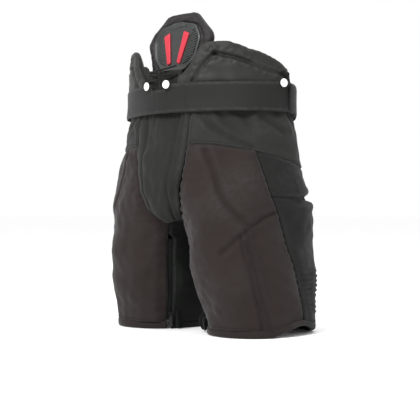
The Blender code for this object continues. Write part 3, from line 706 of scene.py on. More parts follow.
def cap_open_ends(obj):
    """Closes a swept tube's two ends and turns every face outwards."""
    mesh = bmesh.new()
    mesh.from_mesh(obj.data)
    bmesh.ops.holes_fill(mesh, edges=[e for e in mesh.edges if e.is_boundary], sides=0)
    bmesh.ops.recalc_face_normals(mesh, faces=mesh.faces)
    mesh.to_mesh(obj.data)
    mesh.free()


CURL = 0.16                   # share of the cup panel's height that curls back under the crotch


def gusset_grid(columns=41, rows=74):
    """The cup panel's outer face: shares across and up, and the points."""
    across, v = np.meshgrid(np.linspace(-1.0, 1.0, columns), np.linspace(-CURL, 1.0, rows), indexing="ij")
    up = np.clip(v, 0.0, 1.0)
    curl = np.clip(-v / CURL, 0.0, 1.0)
    z = mix(GUSSET_LOW + 0.004, BELT_HIGH - 0.004, up)
    edge = skin(front_seam(z), z, np.zeros_like(z))
    narrow = 1.0 - 0.75 * curl
    cup = np.sin(math.pi * np.minimum(1.0, 0.15 + up))
    bulge = 0.0135 * (1.0 - across**2) * np.maximum(cup, 0.0)
    bulge = bulge + 0.006 * (1.0 - across**4) * bell(up - 0.24, 0.20)
    x = edge[..., 0] * across * narrow
    y = edge[..., 1] - bulge * (1.0 - curl) + 0.052 * np.sin(curl * math.pi / 2.0)
    drop = 0.010 * ramp(1.0 - up, 0.86, 1.0) * (1.0 - across**2) * (1.0 - curl)
    points = np.stack([x, y, z - drop + 0.010 * curl**2], -1)
    return points, across, up


def make_gusset():
    points, across, up = gusset_grid()
    normal = np.cross(np.gradient(points, axis=1), np.gradient(points, axis=0))
    normal /= np.linalg.norm(normal, axis=-1, keepdims=True)
    if normal[..., 1].mean() > 0.0:
        normal = -normal
    half_width, cup_seam = 0.045, 0.60
    rib = -0.0036 * bell((np.abs(across) - cup_seam) * half_width, 0.0024)
    roll = -0.0020 * (1.0 - ramp((1.0 - np.abs(across)) * 0.04, 0.0, 0.005))
    crease = 0.0018 * waves(points, 0.05, 91) + 0.0006 * waves(points, 0.02, 92)
    gather = 0.0010 * np.sin(across * 34.0 + 2.0 * waves(points, 0.06, 93)) * ramp(up, 0.60, 0.85)
    relief = rib + roll + crease + gather
    outer = points + normal * relief[..., None]
    inner = points - normal * (WALL * 0.8)
    cloth = laid_flat(points[..., 0], points[..., 2])
    # painted highlight near the cup panel's two side edges
    painted_highlight = np.clip(bell(np.abs(across) - 0.9, 0.06), 0.0, 1.0) * 0.6
    cloths = [MATERIALS["gusset"], MATERIALS["lining"]]
    made = slab("cup_gusset_cloth", outer, inner, cloth, painted_highlight, cloths, 1.0)
    place_piece(made, ["front_gusset"])


def make_crotch():
    """A saddle of dark cloth over the crotch, from the cup panel to the seat seam."""
    along, across = np.meshgrid(np.linspace(0.0, 1.0, 40), np.linspace(-1.0, 1.0, 21), indexing="ij")
    rise = 0.010 * np.sin(math.pi * along) - 0.008 * across**2
    x = 0.030 * across
    y = mix(-0.088, 0.074, along)
    top = np.stack([x, y, BACK_TOP_Z + 0.004 + rise], -1)
    top[..., 2] += 0.0006 * waves(top, 0.03, 61)
    low = top - (0.0, 0.0, 0.004)
    cloth = laid_flat(x, y)
    cloths = [MATERIALS["dark"], MATERIALS["dark"]]
    made = slab("crotch_saddle", top, low, cloth, np.zeros_like(x), cloths, 1.0)
    place_piece(made, ["crotch_gusset"])


# ---------------------------------------------------------------- belt and fasteners

BELT_STAND_OFF, BELT_WALL = 0.0032, 0.0040
NOTCH_DEPTH, NOTCH_HALF = 0.010, 0.016


def belt_height(angle, share):
    """Height across the belt's width. Its top edge dips between the two front buttons."""
    at_x = outline(angle, np.full_like(angle, BELT_HIGH))[..., 0]
    open_front = (1.0 - ramp(at_x, NOTCH_HALF - 0.001, NOTCH_HALF + 0.005)) * (angle < 90.0)
    return mix(BELT_LOW, BELT_HIGH - NOTCH_DEPTH * open_front, share)


def band_section(half_wall, edge_share):
    """Points round a webbing band's rounded section: share of its width, and offset from its middle."""
    width = np.concatenate([np.linspace(0.0, 1.0, 15), np.linspace(1.0, 0.0, 15)])
    offset = np.concatenate([np.full(15, half_wall), np.full(15, -half_wall)])
    near = np.minimum(width, 1.0 - width) / edge_share
    return width, offset * np.sqrt(1.0 - (1.0 - np.clip(near, 0.0, 1.0)) ** 2 * 0.92)


def make_belt():
    turn = np.linspace(0.0, 360.0, 361)[:-1]
    angle = np.minimum(turn, 360.0 - turn)
    side = np.where(turn > 180.0, -1.0, 1.0)
    width, offset = band_section(BELT_WALL / 2.0, 0.05)
    angles, widths = np.meshgrid(angle, width, indexing="ij")
    z = belt_height(angles, widths)
    middle = BELT_STAND_OFF + BELT_WALL / 2.0
    sag = 0.0008 * waves(outline(angles, z), 0.09, 7) - 0.0010 * bell(widths - 0.5, 0.35)
    lap = 0.0014 * ramp(angles, 21.0, 22.0) * (1.0 - ramp(angles, 96.0, 98.0)) * (side[:, None] > 0.0)
    points = skin(angles, z, middle + offset[None, :] + sag + lap)
    points[..., 0] *= side[:, None]
    points[..., 0] = np.where(np.isin(angles, (0.0, 180.0)), 0.0, points[..., 0])
    points[..., 2] = z
    faces = grid_faces(*angles.shape, wrap_rows=True)
    around = np.radians(turn)[:, None] * 0.16 + 0.0 * widths
    cloth = np.stack([around, widths * 0.054, offset[None, :] + 0.0 * widths], -1).reshape(-1, 3)
    # painted highlight in a band near each edge of the belt
    hem = bell(np.minimum(widths, 1.0 - widths) - 0.07, 0.02).ravel() * 0.7
    web = [MATERIALS["belt"]]
    made = make_object("waist_belt", points.reshape(-1, 3), faces, web, None, {"painted_highlight": hem}, cloth)
    cap_open_ends(made)
    place_piece(made, ["belt"])


def strap(name, centres, outward, halves, wall, material, nodes=(), body="shell", sag=0.0):
    """A flat strap swept along centre points. halves are vectors to its upper edge."""
    centres, outward, halves = (np.asarray(a, float) for a in (centres, outward, halves))
    width, offset = band_section(wall / 2.0, 0.14)
    across = (2.0 * width - 1.0)[None, :, None]
    points = centres[:, None] + halves[:, None] * across
    points = points + outward[:, None] * (offset[None, :, None] - sag * (1.0 - across**2))
    shape = points.shape[:2]
    faces = grid_faces(*shape)
    run = np.linalg.norm(np.diff(centres, axis=0, prepend=centres[:1]), axis=-1).cumsum()
    reach = np.linalg.norm(halves, axis=-1)
    cloth = np.stack([
        np.broadcast_to(run[:, None], shape),
        reach[:, None] * across[..., 0],
        np.broadcast_to(offset, shape),
    ], -1).reshape(-1, 3)
    # painted highlight near the strap's two edges
    hem = np.broadcast_to(bell(np.abs(across[..., 0]) - 0.82, 0.05), shape).ravel() * 0.6
    made = make_object(name, points.reshape(-1, 3), faces, [material], None, {"painted_highlight": hem}, cloth)
    cap_open_ends(made)
    return place_piece(made, nodes, body)


def mirrored_pair(side, *fields):
    return [field * (side, 1.0, 1.0) for field in fields]


def upright(halves):
    """Half widths that stand upright, one vector to each centre point."""
    return np.stack([0.0 * halves, 0.0 * halves, halves], -1)


TAB_START, TAB_END, TAB_FLARE, TAB_DROP = 91.0, 124.0, 0.018, 0.018
TAB_WALL = 0.0030


def make_belt_tab():
    """The loose hook-and-loop end. It flares away from the belt, and its tip is rounded."""
    u = np.linspace(0.0, 1.0, 46)
    angle = mix(TAB_START, TAB_END, u)
    low, high = BELT_LOW + 0.001 - TAB_DROP * u**2, BELT_HIGH - 0.002 - TAB_DROP * u**2
    tip = np.sqrt(np.clip(1.0 - np.clip((u - 0.86) / 0.14, 0.0, 1.0) ** 2, 0.09, 1.0))
    offset = BELT_STAND_OFF + BELT_WALL + 0.0035 + TAB_FLARE * u**3
    middle = np.full_like(angle, 0.43)
    centre = skin(angle, middle, offset)
    centre[:, 2] = (low + high) / 2.0
    normal = skin_normal(angle, middle)
    half = upright((high - low) / 2.0 * tip)
    web = MATERIALS["belt"]
    strap("belt_end", centre, normal, half, TAB_WALL, web, ["belt_tab"], "belt_tab", 0.0006)


def upright_strap(name, side, angle, half_angle, z, offset, wall, nodes=()):
    """A narrow web that runs up the skin at one angle."""
    angle = np.full_like(z, angle)
    fields = (skin(angle, z, offset), skin_normal(angle, z), skin(angle + half_angle, z, offset),
              skin(angle - half_angle, z, offset))
    centre, normal, ahead, behind = mirrored_pair(side, *fields)
    strap(name, centre, normal, (ahead - behind) / 2.0, wall, MATERIALS["strap"], nodes)


def make_loops():
    """Belt loops behind the hips, and the small side straps that come up from behind the belt."""
    u = np.linspace(0.0, 1.0, 34)
    loop_z = mix(BELT_LOW - 0.010, BELT_HIGH + 0.006, u)
    arch = ramp(u, 0.0, 0.14) * (1.0 - ramp(u, 0.86, 1.0))
    over_belt = mix(0.0012, BELT_STAND_OFF + BELT_WALL + 0.0042, arch)
    side_z = mix(BELT_HIGH - 0.010, BELT_HIGH + 0.022, u)
    bow = 0.0016 + 0.0085 * ramp(side_z, BELT_HIGH, BELT_HIGH + 0.006) * (1.0 - ramp(u, 0.80, 1.0))
    for label, side in SIDES:
        nodes = [f"{label}_belt_loop"]
        name = f"{label}_belt_keeper"
        upright_strap(name, side, 147.5, 2.6, loop_z, over_belt, 0.0018, nodes)
        upright_strap(f"{label}_side_strap", side, 88.0, 1.9, side_z, bow, 0.0016)


def turned(name, profile, at, outward, material, steps=40):
    """A turned piece: (radius, height) pairs spun about its axis, which points outward."""
    profile = np.array(profile, float)
    turns = np.linspace(0.0, 2.0 * math.pi, steps + 1)[:-1]
    ring = np.stack([np.cos(turns), np.sin(turns)], -1)
    points = np.concatenate([np.c_[ring * r, np.full(steps, h)] for r, h in profile])
    faces = grid_faces(len(profile), steps)[:, [0, 3, 2, 1]]
    turn = Vector(outward).to_track_quat("Z", "Y").to_matrix()
    points = points @ np.array(turn).T + np.array(at)
    made = make_object(name, points, faces, [material])
    cap_open_ends(made)
    return made


BUTTON_PROFILE = (
    (0.0010, -0.0020), (0.0030, -0.0020), (0.0034, -0.0008), (0.0072, -0.0006), (0.0077, 0.0002),
    (0.0075, 0.0012), (0.0066, 0.0018), (0.0056, 0.0019), (0.0048, 0.0014), (0.0036, 0.0012),
    (0.0030, 0.0016), (0.0020, 0.0019), (0.0008, 0.0020),
)


def make_buttons():
    """White suspender buttons: a rim, a sunk ring and a domed rivet head on a short shank."""
    half_depth = 0.002
    for mount in frame["record"]["mounts"]:
        if "button" not in mount["name"]:
            continue
        outward = Vector(mount["axis"])
        at = Vector(mount["pos_m"]) - outward * half_depth
        label, where = mount["name"].split("_")[:2]
        made = turned(f"{label}_{where}_stud", BUTTON_PROFILE, at, outward, MATERIALS["white"])
        place_piece(made, [f"{label}_{where}_button"])


def make_placket():
    """The grey cloth behind the lace, which closes the front between the hip pads."""
    far_end, near_end, low = -0.064, 0.046, BELT_HIGH - 0.012
    x, share = np.meshgrid(np.linspace(far_end, near_end, 56), np.linspace(0.0, 1.0, 18), indexing="ij")
    top = 0.482 + 0.014 * ramp(-x, 0.030, 0.055)
    z = mix(low, top, share)
    half, roundness = float(section(2, BELT_HIGH)), float(section(7, BELT_HIGH))
    angle = np.degrees(np.arcsin(np.clip(np.abs(x) / half, 0.0, 1.0) ** (roundness / 2.0)))
    y = outline(angle, np.full_like(angle, BELT_HIGH))[..., 1] + 0.0035
    overlap = 0.0030 * bell(x + 0.012, 0.0022)
    y = y - 0.0016 * bell(x - 0.006, 0.012) + overlap + 0.0008 * np.sin(x * 520.0)
    outer = np.stack([x, y, z], -1)
    inner = outer + (0.0, 0.0030, 0.0)
    cloth = laid_flat(x, z)
    cloths = [MATERIALS["gusset"], MATERIALS["lining"]]
    made = slab("fly_placket", outer, inner, cloth, 0.0 * x, cloths, 1.0)
    place_piece(made)


LACE_RADIUS = 0.0017


def make_lace():
    """The fly lace, to and fro between the front edges of the hip pads."""
    half, low, pitch, bow, rows = 0.037, 0.466, 0.0085, 0.004, 3
    knots, wrap_back = 7, 0.35
    front = float(skin(0.0, BELT_HIGH, 0.0)[1]) - 0.0075
    line = bpy.data.curves.new("fly_cord", "CURVE")
    line.dimensions = "3D"
    line.bevel_depth = LACE_RADIUS
    line.bevel_resolution = 4
    line.use_fill_caps = True
    spline = line.splines.new("NURBS")
    points = []
    for row in range(rows):
        for step in range(knots):
            share = step / (knots - 1)
            x = half * (2.0 * share - 1.0) * (1.0 if row % 2 == 0 else -1.0)
            z = low + pitch * (row + 0.75 * share) - bow * (1.0 - (x / half) ** 2)
            points.append((x, front + wrap_back * abs(x), z, 1.0))
    spline.points.add(len(points) - 1)
    for target, point in zip(spline.points, points):
        target.co = point
    spline.use_endpoint_u = True
    spline.order_u = 4
    line.materials.append(MATERIALS["lace"])
    cord = bpy.data.objects.new("fly_cord", line)
    bpy.context.scene.collection.objects.link(cord)
    place_piece(cord, ["fly_lace"])


# ---------------------------------------------------------------- pads

PAD_VOXEL = 0.0042            # the remeshed cell of a pad before it is puffed
PAD_PRESSURE = 4.0
PAD_FRAMES = 20
PAD_WALL = 0.0125


def swell(obj, cap):
    """Puffs a closed piece with a short cloth simulation, and keeps every point within cap of its start."""
    bpy.context.view_layer.objects.active = obj
    remesh = obj.modifiers.new("remesh", "REMESH")
    remesh.mode = "VOXEL"
    remesh.voxel_size = PAD_VOXEL
    apply_modifiers(obj)
    before = vertex_array(obj)
    cloth = obj.modifiers.new("cloth", "CLOTH")
    cloth.settings.use_pressure = True
    cloth.settings.uniform_pressure_force = PAD_PRESSURE
    cloth.settings.effector_weights.gravity = 0.0
    cloth.settings.tension_stiffness = 25.0
    cloth.settings.bending_stiffness = 2.0
    cloth.settings.quality = 5
    for number in range(1, PAD_FRAMES + 1):
        bpy.context.scene.frame_set(number)
    apply_modifiers(obj)
    bpy.context.scene.frame_set(1)
    after = vertex_array(obj)
    step = after - before
    length = np.linalg.norm(step, axis=1, keepdims=True)
    after = before + step * np.minimum(1.0, cap / np.maximum(length, 1e-9))
    obj.data.vertices.foreach_set("co", after.astype(np.float32).ravel())
    smooth = obj.modifiers.new("smooth", "SMOOTH")
    smooth.iterations = 3
    subdivide = obj.modifiers.new("subdivide", "SUBSURF")
    subdivide.levels = subdivide.render_levels = 1
    apply_modifiers(obj)
    obj.data.shade_smooth()


def apply_modifiers(obj):
    graph = bpy.context.evaluated_depsgraph_get()
    graph.update()
    mesh = bpy.data.meshes.new_from_object(obj.evaluated_get(graph))
    old = obj.data
    obj.modifiers.clear()
    obj.data = mesh
    bpy.data.meshes.remove(old)


def vertex_array(obj):
    points = np.empty(len(obj.data.vertices) * 3, np.float32)
    obj.data.vertices.foreach_get("co", points)
    return points.reshape(-1, 3).astype(float)


def normal_array(obj):
    normals = np.empty(len(obj.data.vertices) * 3, np.float32)
    obj.data.vertices.foreach_get("normal", normals)
    return normals.reshape(-1, 3).astype(float)


def sew(obj, lines, depth, width, seed, ripple):
    """Presses sewn channels into a swollen pad, leaves fine ripples beside them, and paints a highlight on
    the ridges beside them.
    """
    points, normals = vertex_array(obj), normal_array(obj)
    move = ripple * waves(points, 0.030, seed)
    painted_highlight = np.zeros(len(points))
    for line in lines:
        gap = distance_to(points, line)
        move -= depth * bell(gap, width)
        move += ripple * 1.6 * bell(gap - 2.0 * width, 1.5 * width) * waves(points, 0.012, seed + 3)
        # painted highlight on the swollen ridge beside each channel
        painted_highlight += 0.6 * bell(gap - 1.8 * width, 0.6 * width)
    points += normals * move[:, None]
    obj.data.vertices.foreach_set("co", points.astype(np.float32).ravel())
    field = obj.data.attributes.new("painted_highlight", "FLOAT", "POINT")
    field.data.foreach_set("value", np.clip(painted_highlight, 0.0, 1.0).astype(np.float32))
    obj.data.update()


def mirrored_copy(obj, name):
    mesh = obj.data.copy()
    mesh.transform(Matrix.Scale(-1.0, 4, (1.0, 0.0, 0.0)))
    mesh.flip_normals()
    made = bpy.data.objects.new(name, mesh)
    bpy.context.scene.collection.objects.link(made)
    return made


def pad_slab(name, angles, top):
    """A pad's starting form: a slab on the skin whose top edge follows a curve."""

    def place(u, v):
        angle = mix(*angles, u)
        return angle, mix(BELT_HIGH - 0.008, curve(angle, top) - 0.001, v)

    patch = Patch(place, 0.006)
    taper = 1.0 - 0.20 * ramp(patch.v, 0.55, 1.0)
    lean = 0.16 * np.maximum(0.0, patch.z - BELT_HIGH) * ramp(patch.angle, 45.0, 75.0)
    outer = patch.base + patch.normal * (0.0012 * taper - lean)[..., None]
    inner = patch.base - patch.normal * (PAD_WALL * taper + lean)[..., None]
    return slab(name, outer, inner, patch.cloth, 0.0 * patch.u, [MATERIALS["pad"]] * 2, 1.0)


HIP_FRONT_CHANNEL = ((38.0, 0.508), (34.0, 0.495), (30.0, 0.480), (25.0, 0.458))
HIP_TOP_CHANNEL = ((38.0, 0.508), (46.0, 0.503), (57.0, 0.493), (69.0, 0.481), (84.0, 0.472), (100.0, 0.462))
KIDNEY_CHANNEL = ((122.0, 0.470), (138.0, 0.484), (152.0, 0.492))
CHANNEL_LIFT, PAD_RIPPLE = 0.003, 0.0006

# Each pad: its name, angles, top edge, swell, channels, their depth and width, seed.
PADS = (
    ("hip", (15.3, 111.6), HIP_PAD_TOP, 0.0055, (HIP_FRONT_CHANNEL, HIP_TOP_CHANNEL), 0.0078, 0.0038, 5),
    ("kidney", (116.4, 156.6), KIDNEY_PAD_TOP, 0.0045, (KIDNEY_CHANNEL,), 0.0056, 0.0036, 9),
)


def make_waist_pads():
    for title, angles, top, cap, channels, depth, width, seed in PADS:
        left = pad_slab(f"left_{title}_cushion", angles, top)
        swell(left, cap)
        lines = [on_skin(channel, CHANNEL_LIFT) for channel in channels]
        sew(left, lines, depth, width, seed, PAD_RIPPLE)
        right = mirrored_copy(left, f"right_{title}_cushion")
        place_piece(left, [f"left_{title}_pad"])
        place_piece(right, [f"right_{title}_pad"])


SPINE_LEAN = math.radians(9.0)
SPINE_DEPTH = 0.018
SPINE_THIN = 0.0030           # the pad's back face stands this much inside its CAD face, to clear the seat
# Half outlines on the pad's face, right of its middle: (across, up from the hinge).
SPINE_OUTLINE = ((0.056, 0.000), (0.071, 0.048), (0.087, 0.095), (0.080, 0.110), (0.036, 0.150))
SHIELD_OUTLINE = ((0.030, 0.034), (0.055, 0.060), (0.062, 0.096), (0.045, 0.121), (0.012, 0.128))
INSERT_OUTLINE = ((0.008, 0.050), (0.016, 0.047), (0.033, 0.104), (0.019, 0.110))


def spine_matrix():
    joint = next(j for j in frame["joints"] if j["name"] == "spine_pad_tilt")
    turn = Matrix.Rotation(math.pi / 2.0 - SPINE_LEAN, 4, "X")
    return Matrix.Translation(Vector(joint["pos_m"])) @ turn


def mirrored(half):
    return [*half, *[(-x, y) for x, y in reversed(half)]]


def rounded_outline(outline_points, radius, steps=5):
    """The outline with each corner replaced by a short curve."""
    rounded = []
    count = len(outline_points)
    for i, point in enumerate(outline_points):
        here = np.array(point, float)
        for other in (outline_points[i - 1], outline_points[(i + 1) % count]):
            run = np.array(other, float) - here
            reach = min(radius, 0.45 * np.linalg.norm(run))
            rounded.append((here, here + run / np.linalg.norm(run) * reach))
    made = []
    for i in range(count):
        corner, start = rounded[2 * i]
        end = rounded[2 * i + 1][1]
        for t in np.linspace(0.0, 1.0, steps):
            made.append((1 - t) ** 2 * start + 2 * t * (1 - t) * corner + t * t * end)
    return np.array(made)


def plate(name, outline_points, layers, material, place):
    """A moulded plate: the outline shrunk to several shares at several heights, closed at both ends."""
    outline_points = np.asarray(outline_points)
    middle = outline_points.mean(0)
    rings = []
    for inset, height in layers:
        run = outline_points - middle
        length = np.linalg.norm(run, axis=1, keepdims=True)
        ring = middle + run * (1.0 - inset / length)
        rings.append(np.c_[ring, np.full(len(ring), height)])
    points = np.concatenate(rings)
    faces = grid_faces(len(rings), len(outline_points))[:, [0, 3, 2, 1]]
    made = make_object(name, to_world(place, points), faces, [material])
    cap_open_ends(made)
    return made


def to_world(place, points):
    world = np.array(place)
    return np.asarray(points, float) @ world[:3, :3].T + world[:3, 3]


def make_spine_pad():
    place = spine_matrix()
    back, front = -SPINE_DEPTH / 2.0 + SPINE_THIN, SPINE_DEPTH / 2.0
    border = rounded_outline(mirrored(SPINE_OUTLINE), 0.008)
    layers = ((0.0025, back + 0.0005), (0.0, back + 0.004), (0.0, front - 0.004), (0.0025, front - 0.0005))
    pad = plate("spine_cushion", border, layers, MATERIALS["spine"], place)
    swell(pad, 0.0025)

    def on_face(line):
        return to_world(place, [(x, y, front + 0.002) for x, y in line])

    shield = rounded_outline(mirrored(SHIELD_OUTLINE), 0.008)
    channel = on_face(np.vstack([shield, shield[:1]]) * (1.07, 1.0))
    rim = ((-0.058, 0.118), (-0.034, 0.141), (0.0, 0.143), (0.034, 0.141), (0.058, 0.118))
    foot = [(x, 0.026) for x in np.linspace(-0.050, 0.050, 9)]
    sew(pad, [channel], 0.0036, 0.0030, 15, 0.0004)
    press(pad, [on_face(rim), on_face(foot)], 0.0018, 0.0030)
    place_piece(pad, ["spine_pad"], "spine_pad")
    make_shield(place, shield, front)


def press(obj, lines, depth, width):
    """Presses plain grooves into a piece, with no ripples."""
    points, normals = vertex_array(obj), normal_array(obj)
    for line in lines:
        points -= normals * (depth * bell(distance_to(points, line), width))[:, None]
    obj.data.vertices.foreach_set("co", points.astype(np.float32).ravel())
    obj.data.update()


RIB_COUNT, RIB_LOW, RIB_PITCH = 14, 0.050, 0.0050
RIB_MARGIN, RIB_SHORTEST = 0.0075, 0.004
RIB_HALF, RIB_HEIGHT = 0.0011, 0.0017


def make_shield(place, shield, front):
    """The ribbed plate on the pad's face: a raised rim, fanned ribs on both cheeks, red strips in a V."""
    base = front + 0.0008
    rim, floor_edge, floor_middle = base + 0.0046, base + 0.0030, base + 0.0034
    layers = ((0.000, base), (0.000, base + 0.0030), (0.0016, rim), (0.0042, rim),
              (0.0060, floor_edge), (0.0200, floor_middle))
    plate_obj = plate("shield_plate", shield, layers, MATERIALS["shield"], place)
    place_piece(plate_obj, ["spine_shield"], "spine_pad")
    top = floor_middle
    for label, side in SIDES:
        ribs_points, ribs_faces = [], []
        for row in range(RIB_COUNT):
            y = RIB_LOW + RIB_PITCH * row
            inner_x = 0.0205 + 0.27 * (y - 0.047)
            outer_x = np.interp(y, *zip(*[(y0, x0) for x0, y0 in SHIELD_OUTLINE])) - RIB_MARGIN
            if outer_x - inner_x < RIB_SHORTEST:
                continue
            start, end = (side * inner_x, y - 0.002), (side * outer_x, y + 0.004)
            add_bar(ribs_points, ribs_faces, start, end, top - 0.0006, RIB_HALF, RIB_HEIGHT)
        name = f"{label}_shield_ribs"
        made = make_object(name, to_world(place, ribs_points), ribs_faces, [MATERIALS["shield"]])
        cap_open_ends(made)
        place_piece(made, (), "spine_pad")
        strip = rounded_outline([(side * x, y) for x, y in INSERT_OUTLINE], 0.0022)
        layers = ((0.0, top - 0.0008), (0.0, top + 0.0014), (0.0010, top + 0.0024), (0.0030, top + 0.0026))
        red = plate(f"{label}_red_strip", strip, layers, MATERIALS["red"], place)
        place_piece(red, [f"{label}_spine_insert"], "spine_pad")
    crown = [(-0.020, 0.118), (0.020, 0.118), (0.014, 0.128), (-0.014, 0.128)]
    layers = ((0.0, top - 0.0008), (0.0, top + 0.0008), (0.0012, top + 0.0014))
    made = plate("shield_crown", rounded_outline(crown, 0.003), layers, MATERIALS["shield"], place)
    place_piece(made, (), "spine_pad")


def add_bar(points, faces, start, end, base, half, height):
    """A low rib with a rounded back between two points of the shield's face."""
    start, end = np.array(start), np.array(end)
    run = (end - start) / np.linalg.norm(end - start)
    across = np.array((-run[1], run[0]))
    first = len(points)
    turns = np.linspace(0.0, math.pi, 6)
    for at, scale in ((start, 0.5), (start + run * 0.0012, 1.0), (end - run * 0.0012, 1.0), (end, 0.5)):
        for turn in turns:
            spot = at + across * half * math.cos(turn) * scale
            points.append((spot[0], spot[1], base + height * math.sin(turn) * scale))
    count = len(turns)
    for ring in range(3):
        for i in range(count):
            a, b = first + ring * count + i, first + ring * count + (i + 1) % count
            faces.append((a, b, b + count, a + count))
    faces.append(tuple(first + i for i in range(count))[::-1])
    faces.append(tuple(first + 3 * count + i for i in range(count)))


# ---------------------------------------------------------------- guards inside


# Each guard: its name, angles, heights, outer face, thickness, material, slot, node, filling.
GUARD_TOP = -0.0140
THIGH_AREA = ((2.0, 62.0), (0.040, 0.300))
HIP_AREA = ((70.0, 128.0), (0.270, 0.385))
GUARDS = (
    ("thigh_shell", *THIGH_AREA, GUARD_TOP, 0.003, "guard", "guard_plastic", "thigh_guard", None),
    ("thigh_quilt", *THIGH_AREA, GUARD_TOP - 0.004, 0.008, "foam", "foam", "thigh_foam", 0.6),
    ("hip_shell", *HIP_AREA, GUARD_TOP, 0.003, "guard", "guard_plastic", "hip_cap", None),
)
QUILT_TURN = 105.0            # turn of the quilting's waves, in radians per metre


def make_guards():
    """Plastic guards and quilted foam inside the shell."""
    for title, angles, heights, top, wall, material, slot, node, fill in GUARDS:
        patch = Patch(lambda u, v, a=angles, h=heights: (mix(*a, u), mix(*h, v)), 0.006)
        edge = np.minimum(patch.edge(), 0.012)
        relief = top - 0.0012 * (1.0 - ramp(edge, 0.0, 0.006))
        depth = top - wall
        if title == "thigh_quilt":
            for run in (patch.left, patch.low):
                depth = depth + 0.0022 * bell(np.sin(run * QUILT_TURN), 0.25)[..., None]
        for label, side in SIDES:
            cloths = [MATERIALS[material]] * 2
            panel(f"{label}_{title}", patch, relief, cloths, f"{label}_{node}", side, depth)


def across_back(name, half, heights, offset, wall, material, slot, node):
    """A plate or a web that crosses the middle of the back, inside the shell."""
    x, z = np.meshgrid(np.linspace(-half, half, 41), np.linspace(*heights, 34), indexing="ij")
    low, high = np.full_like(z, 120.0), np.full_like(z, 250.0)
    for _ in range(26):
        middle = (low + high) / 2.0
        outside = outline(middle, z)[..., 0] > np.abs(x)
        low, high = np.where(outside, middle, low), np.where(outside, high, middle)
    at = skin(low, z, offset)
    round_off = 0.0008 * (1.0 - ramp(np.minimum(half - np.abs(x), 0.01), 0.0, 0.005))
    outer = np.stack([x, at[..., 1] - round_off, at[..., 2]], -1)
    inner = outer - (0.0, wall, 0.0)
    cloth = laid_flat(x, z)
    made = slab(name, outer, inner, cloth, 0.0 * x, [MATERIALS[material]] * 2, 1.0)
    place_piece(made, [node])


def make_back_plates():
    tail = ("guard", "guard_plastic", "tailbone_guard")
    across_back("tailbone_plate", 0.045, (0.275, 0.370), -0.0185, 0.005, *tail)
    web = ("strap", "belt_web", "spine_anchor")
    across_back("spine_web", 0.028, (0.410, 0.440), -0.0130, 0.002, *web)


# ---------------------------------------------------------------- zips and stitching

ZIP_LOW, ZIP_HIGH = 0.016, 0.172
TOOTH_PITCH = 0.0024
SLIDER_REST = 0.0110          # height of the slider's middle above the foot of the zip
# The slider's top plate, neck and two lugs, and the pull's eye, blade and raised grip: (centre, size),
# from the slider's middle and from the pull's pivot.
SLIDER_BLOCKS = (
    ((0.0, 0.0046, 0.0), (0.0085, 0.0016, 0.0125)),
    ((0.0, 0.0019, 0.0020), (0.0030, 0.0044, 0.0050)),
    ((0.0, 0.0060, 0.0030), (0.0022, 0.0016, 0.0026)),
    ((0.0, 0.0060, -0.0030), (0.0022, 0.0016, 0.0026)),
)
PULL_BLOCKS = (
    ((0.0, 0.0, -0.0012), (0.0030, 0.0016, 0.0042)),
    ((0.0, 0.0, -0.0125), (0.0066, 0.0018, 0.0205)),
    ((0.0, 0.0011, -0.0150), (0.0040, 0.0006, 0.0120)),
)


def zip_frame(side):
    """Matrix of a zip: its Z runs up the zip, its Y away from the leg, as in the CAD model."""

    def on_zip(z, offset):
        return Vector(skin(float(section(8, z)) - 3.5, z, offset))

    low, high = on_zip(ZIP_LOW, 0.0), on_zip(ZIP_HIGH, 0.0)
    middle = (ZIP_LOW + ZIP_HIGH) / 2.0
    facing = on_zip(middle, 0.010) - on_zip(middle, 0.0)
    flip = Vector((side, 1.0, 1.0))
    along = ((high - low) * flip).normalized()
    across = (facing * flip).cross(along).normalized()
    outward = along.cross(across)
    turn = Matrix((across, outward, along)).transposed().to_4x4()
    return Matrix.Translation(low * flip) @ turn, (high - low).length


def boxes(name, parts, material, place, bevel=0.0):
    """Small blocks in one piece. Each part is (centre, size) in the zip's own frame."""
    mesh = bmesh.new()
    for centre, size in parts:
        made = bmesh.ops.create_cube(mesh, size=1.0)["verts"]
        bmesh.ops.scale(mesh, vec=size, verts=made)
        bmesh.ops.translate(mesh, vec=centre, verts=made)
    if bevel:
        bmesh.ops.bevel(mesh, geom=mesh.edges[:], offset=bevel, segments=2, affect="EDGES")
    mesh.transform(place)
    data = bpy.data.meshes.new(name)
    mesh.to_mesh(data)
    mesh.free()
    data.materials.append(material)
    data.shade_smooth()
    data.set_sharp_from_angle(angle=math.radians(35.0))
    made = bpy.data.objects.new(name, data)
    bpy.context.scene.collection.objects.link(made)
    return made


def make_zips():
    for label, side in SIDES:
        place, length = zip_frame(side)
        tape_parts = [((0.0, -0.0042, length / 2.0), (0.0135, 0.0012, length))]
        tape = boxes(f"{label}_zip_band", tape_parts, MATERIALS["dark"], place)
        place_piece(tape, [f"{label}_zip_tape"])
        teeth = []
        for i in range(int(length / TOOTH_PITCH) - 1):
            x = 0.0010 if i % 2 else -0.0010
            teeth.append(((x, -0.0030, 0.0015 + TOOTH_PITCH * i), (0.0030, 0.0020, 0.0013)))
        made = boxes(f"{label}_zip_teeth", teeth, MATERIALS["pull"], place, 0.0003)
        place_piece(made)
        body = [((x, y, z + SLIDER_REST), size) for (x, y, z), size in SLIDER_BLOCKS]
        slider = boxes(f"{label}_zip_runner", body, MATERIALS["metal"], place, 0.0005)
        place_piece(slider, [f"{label}_zip_slider"], f"{label}_zip_slider")
        joint = next(j for j in frame["joints"] if j["name"] == f"{label}_pull_swing")
        pivot = place.to_3x3().to_4x4()
        pivot.translation = Vector(joint["pos_m"])
        pull = boxes(f"{label}_zip_tag", PULL_BLOCKS, MATERIALS["pull"], pivot, 0.0004)
        place_piece(pull, [f"{label}_zip_pull"], f"{label}_zip_pull")
        make_zip_flap(label, side)


FLAP_MIDDLE, FLAP_HALF, FLAP_REACH = 0.0215, 0.0175, 0.0170


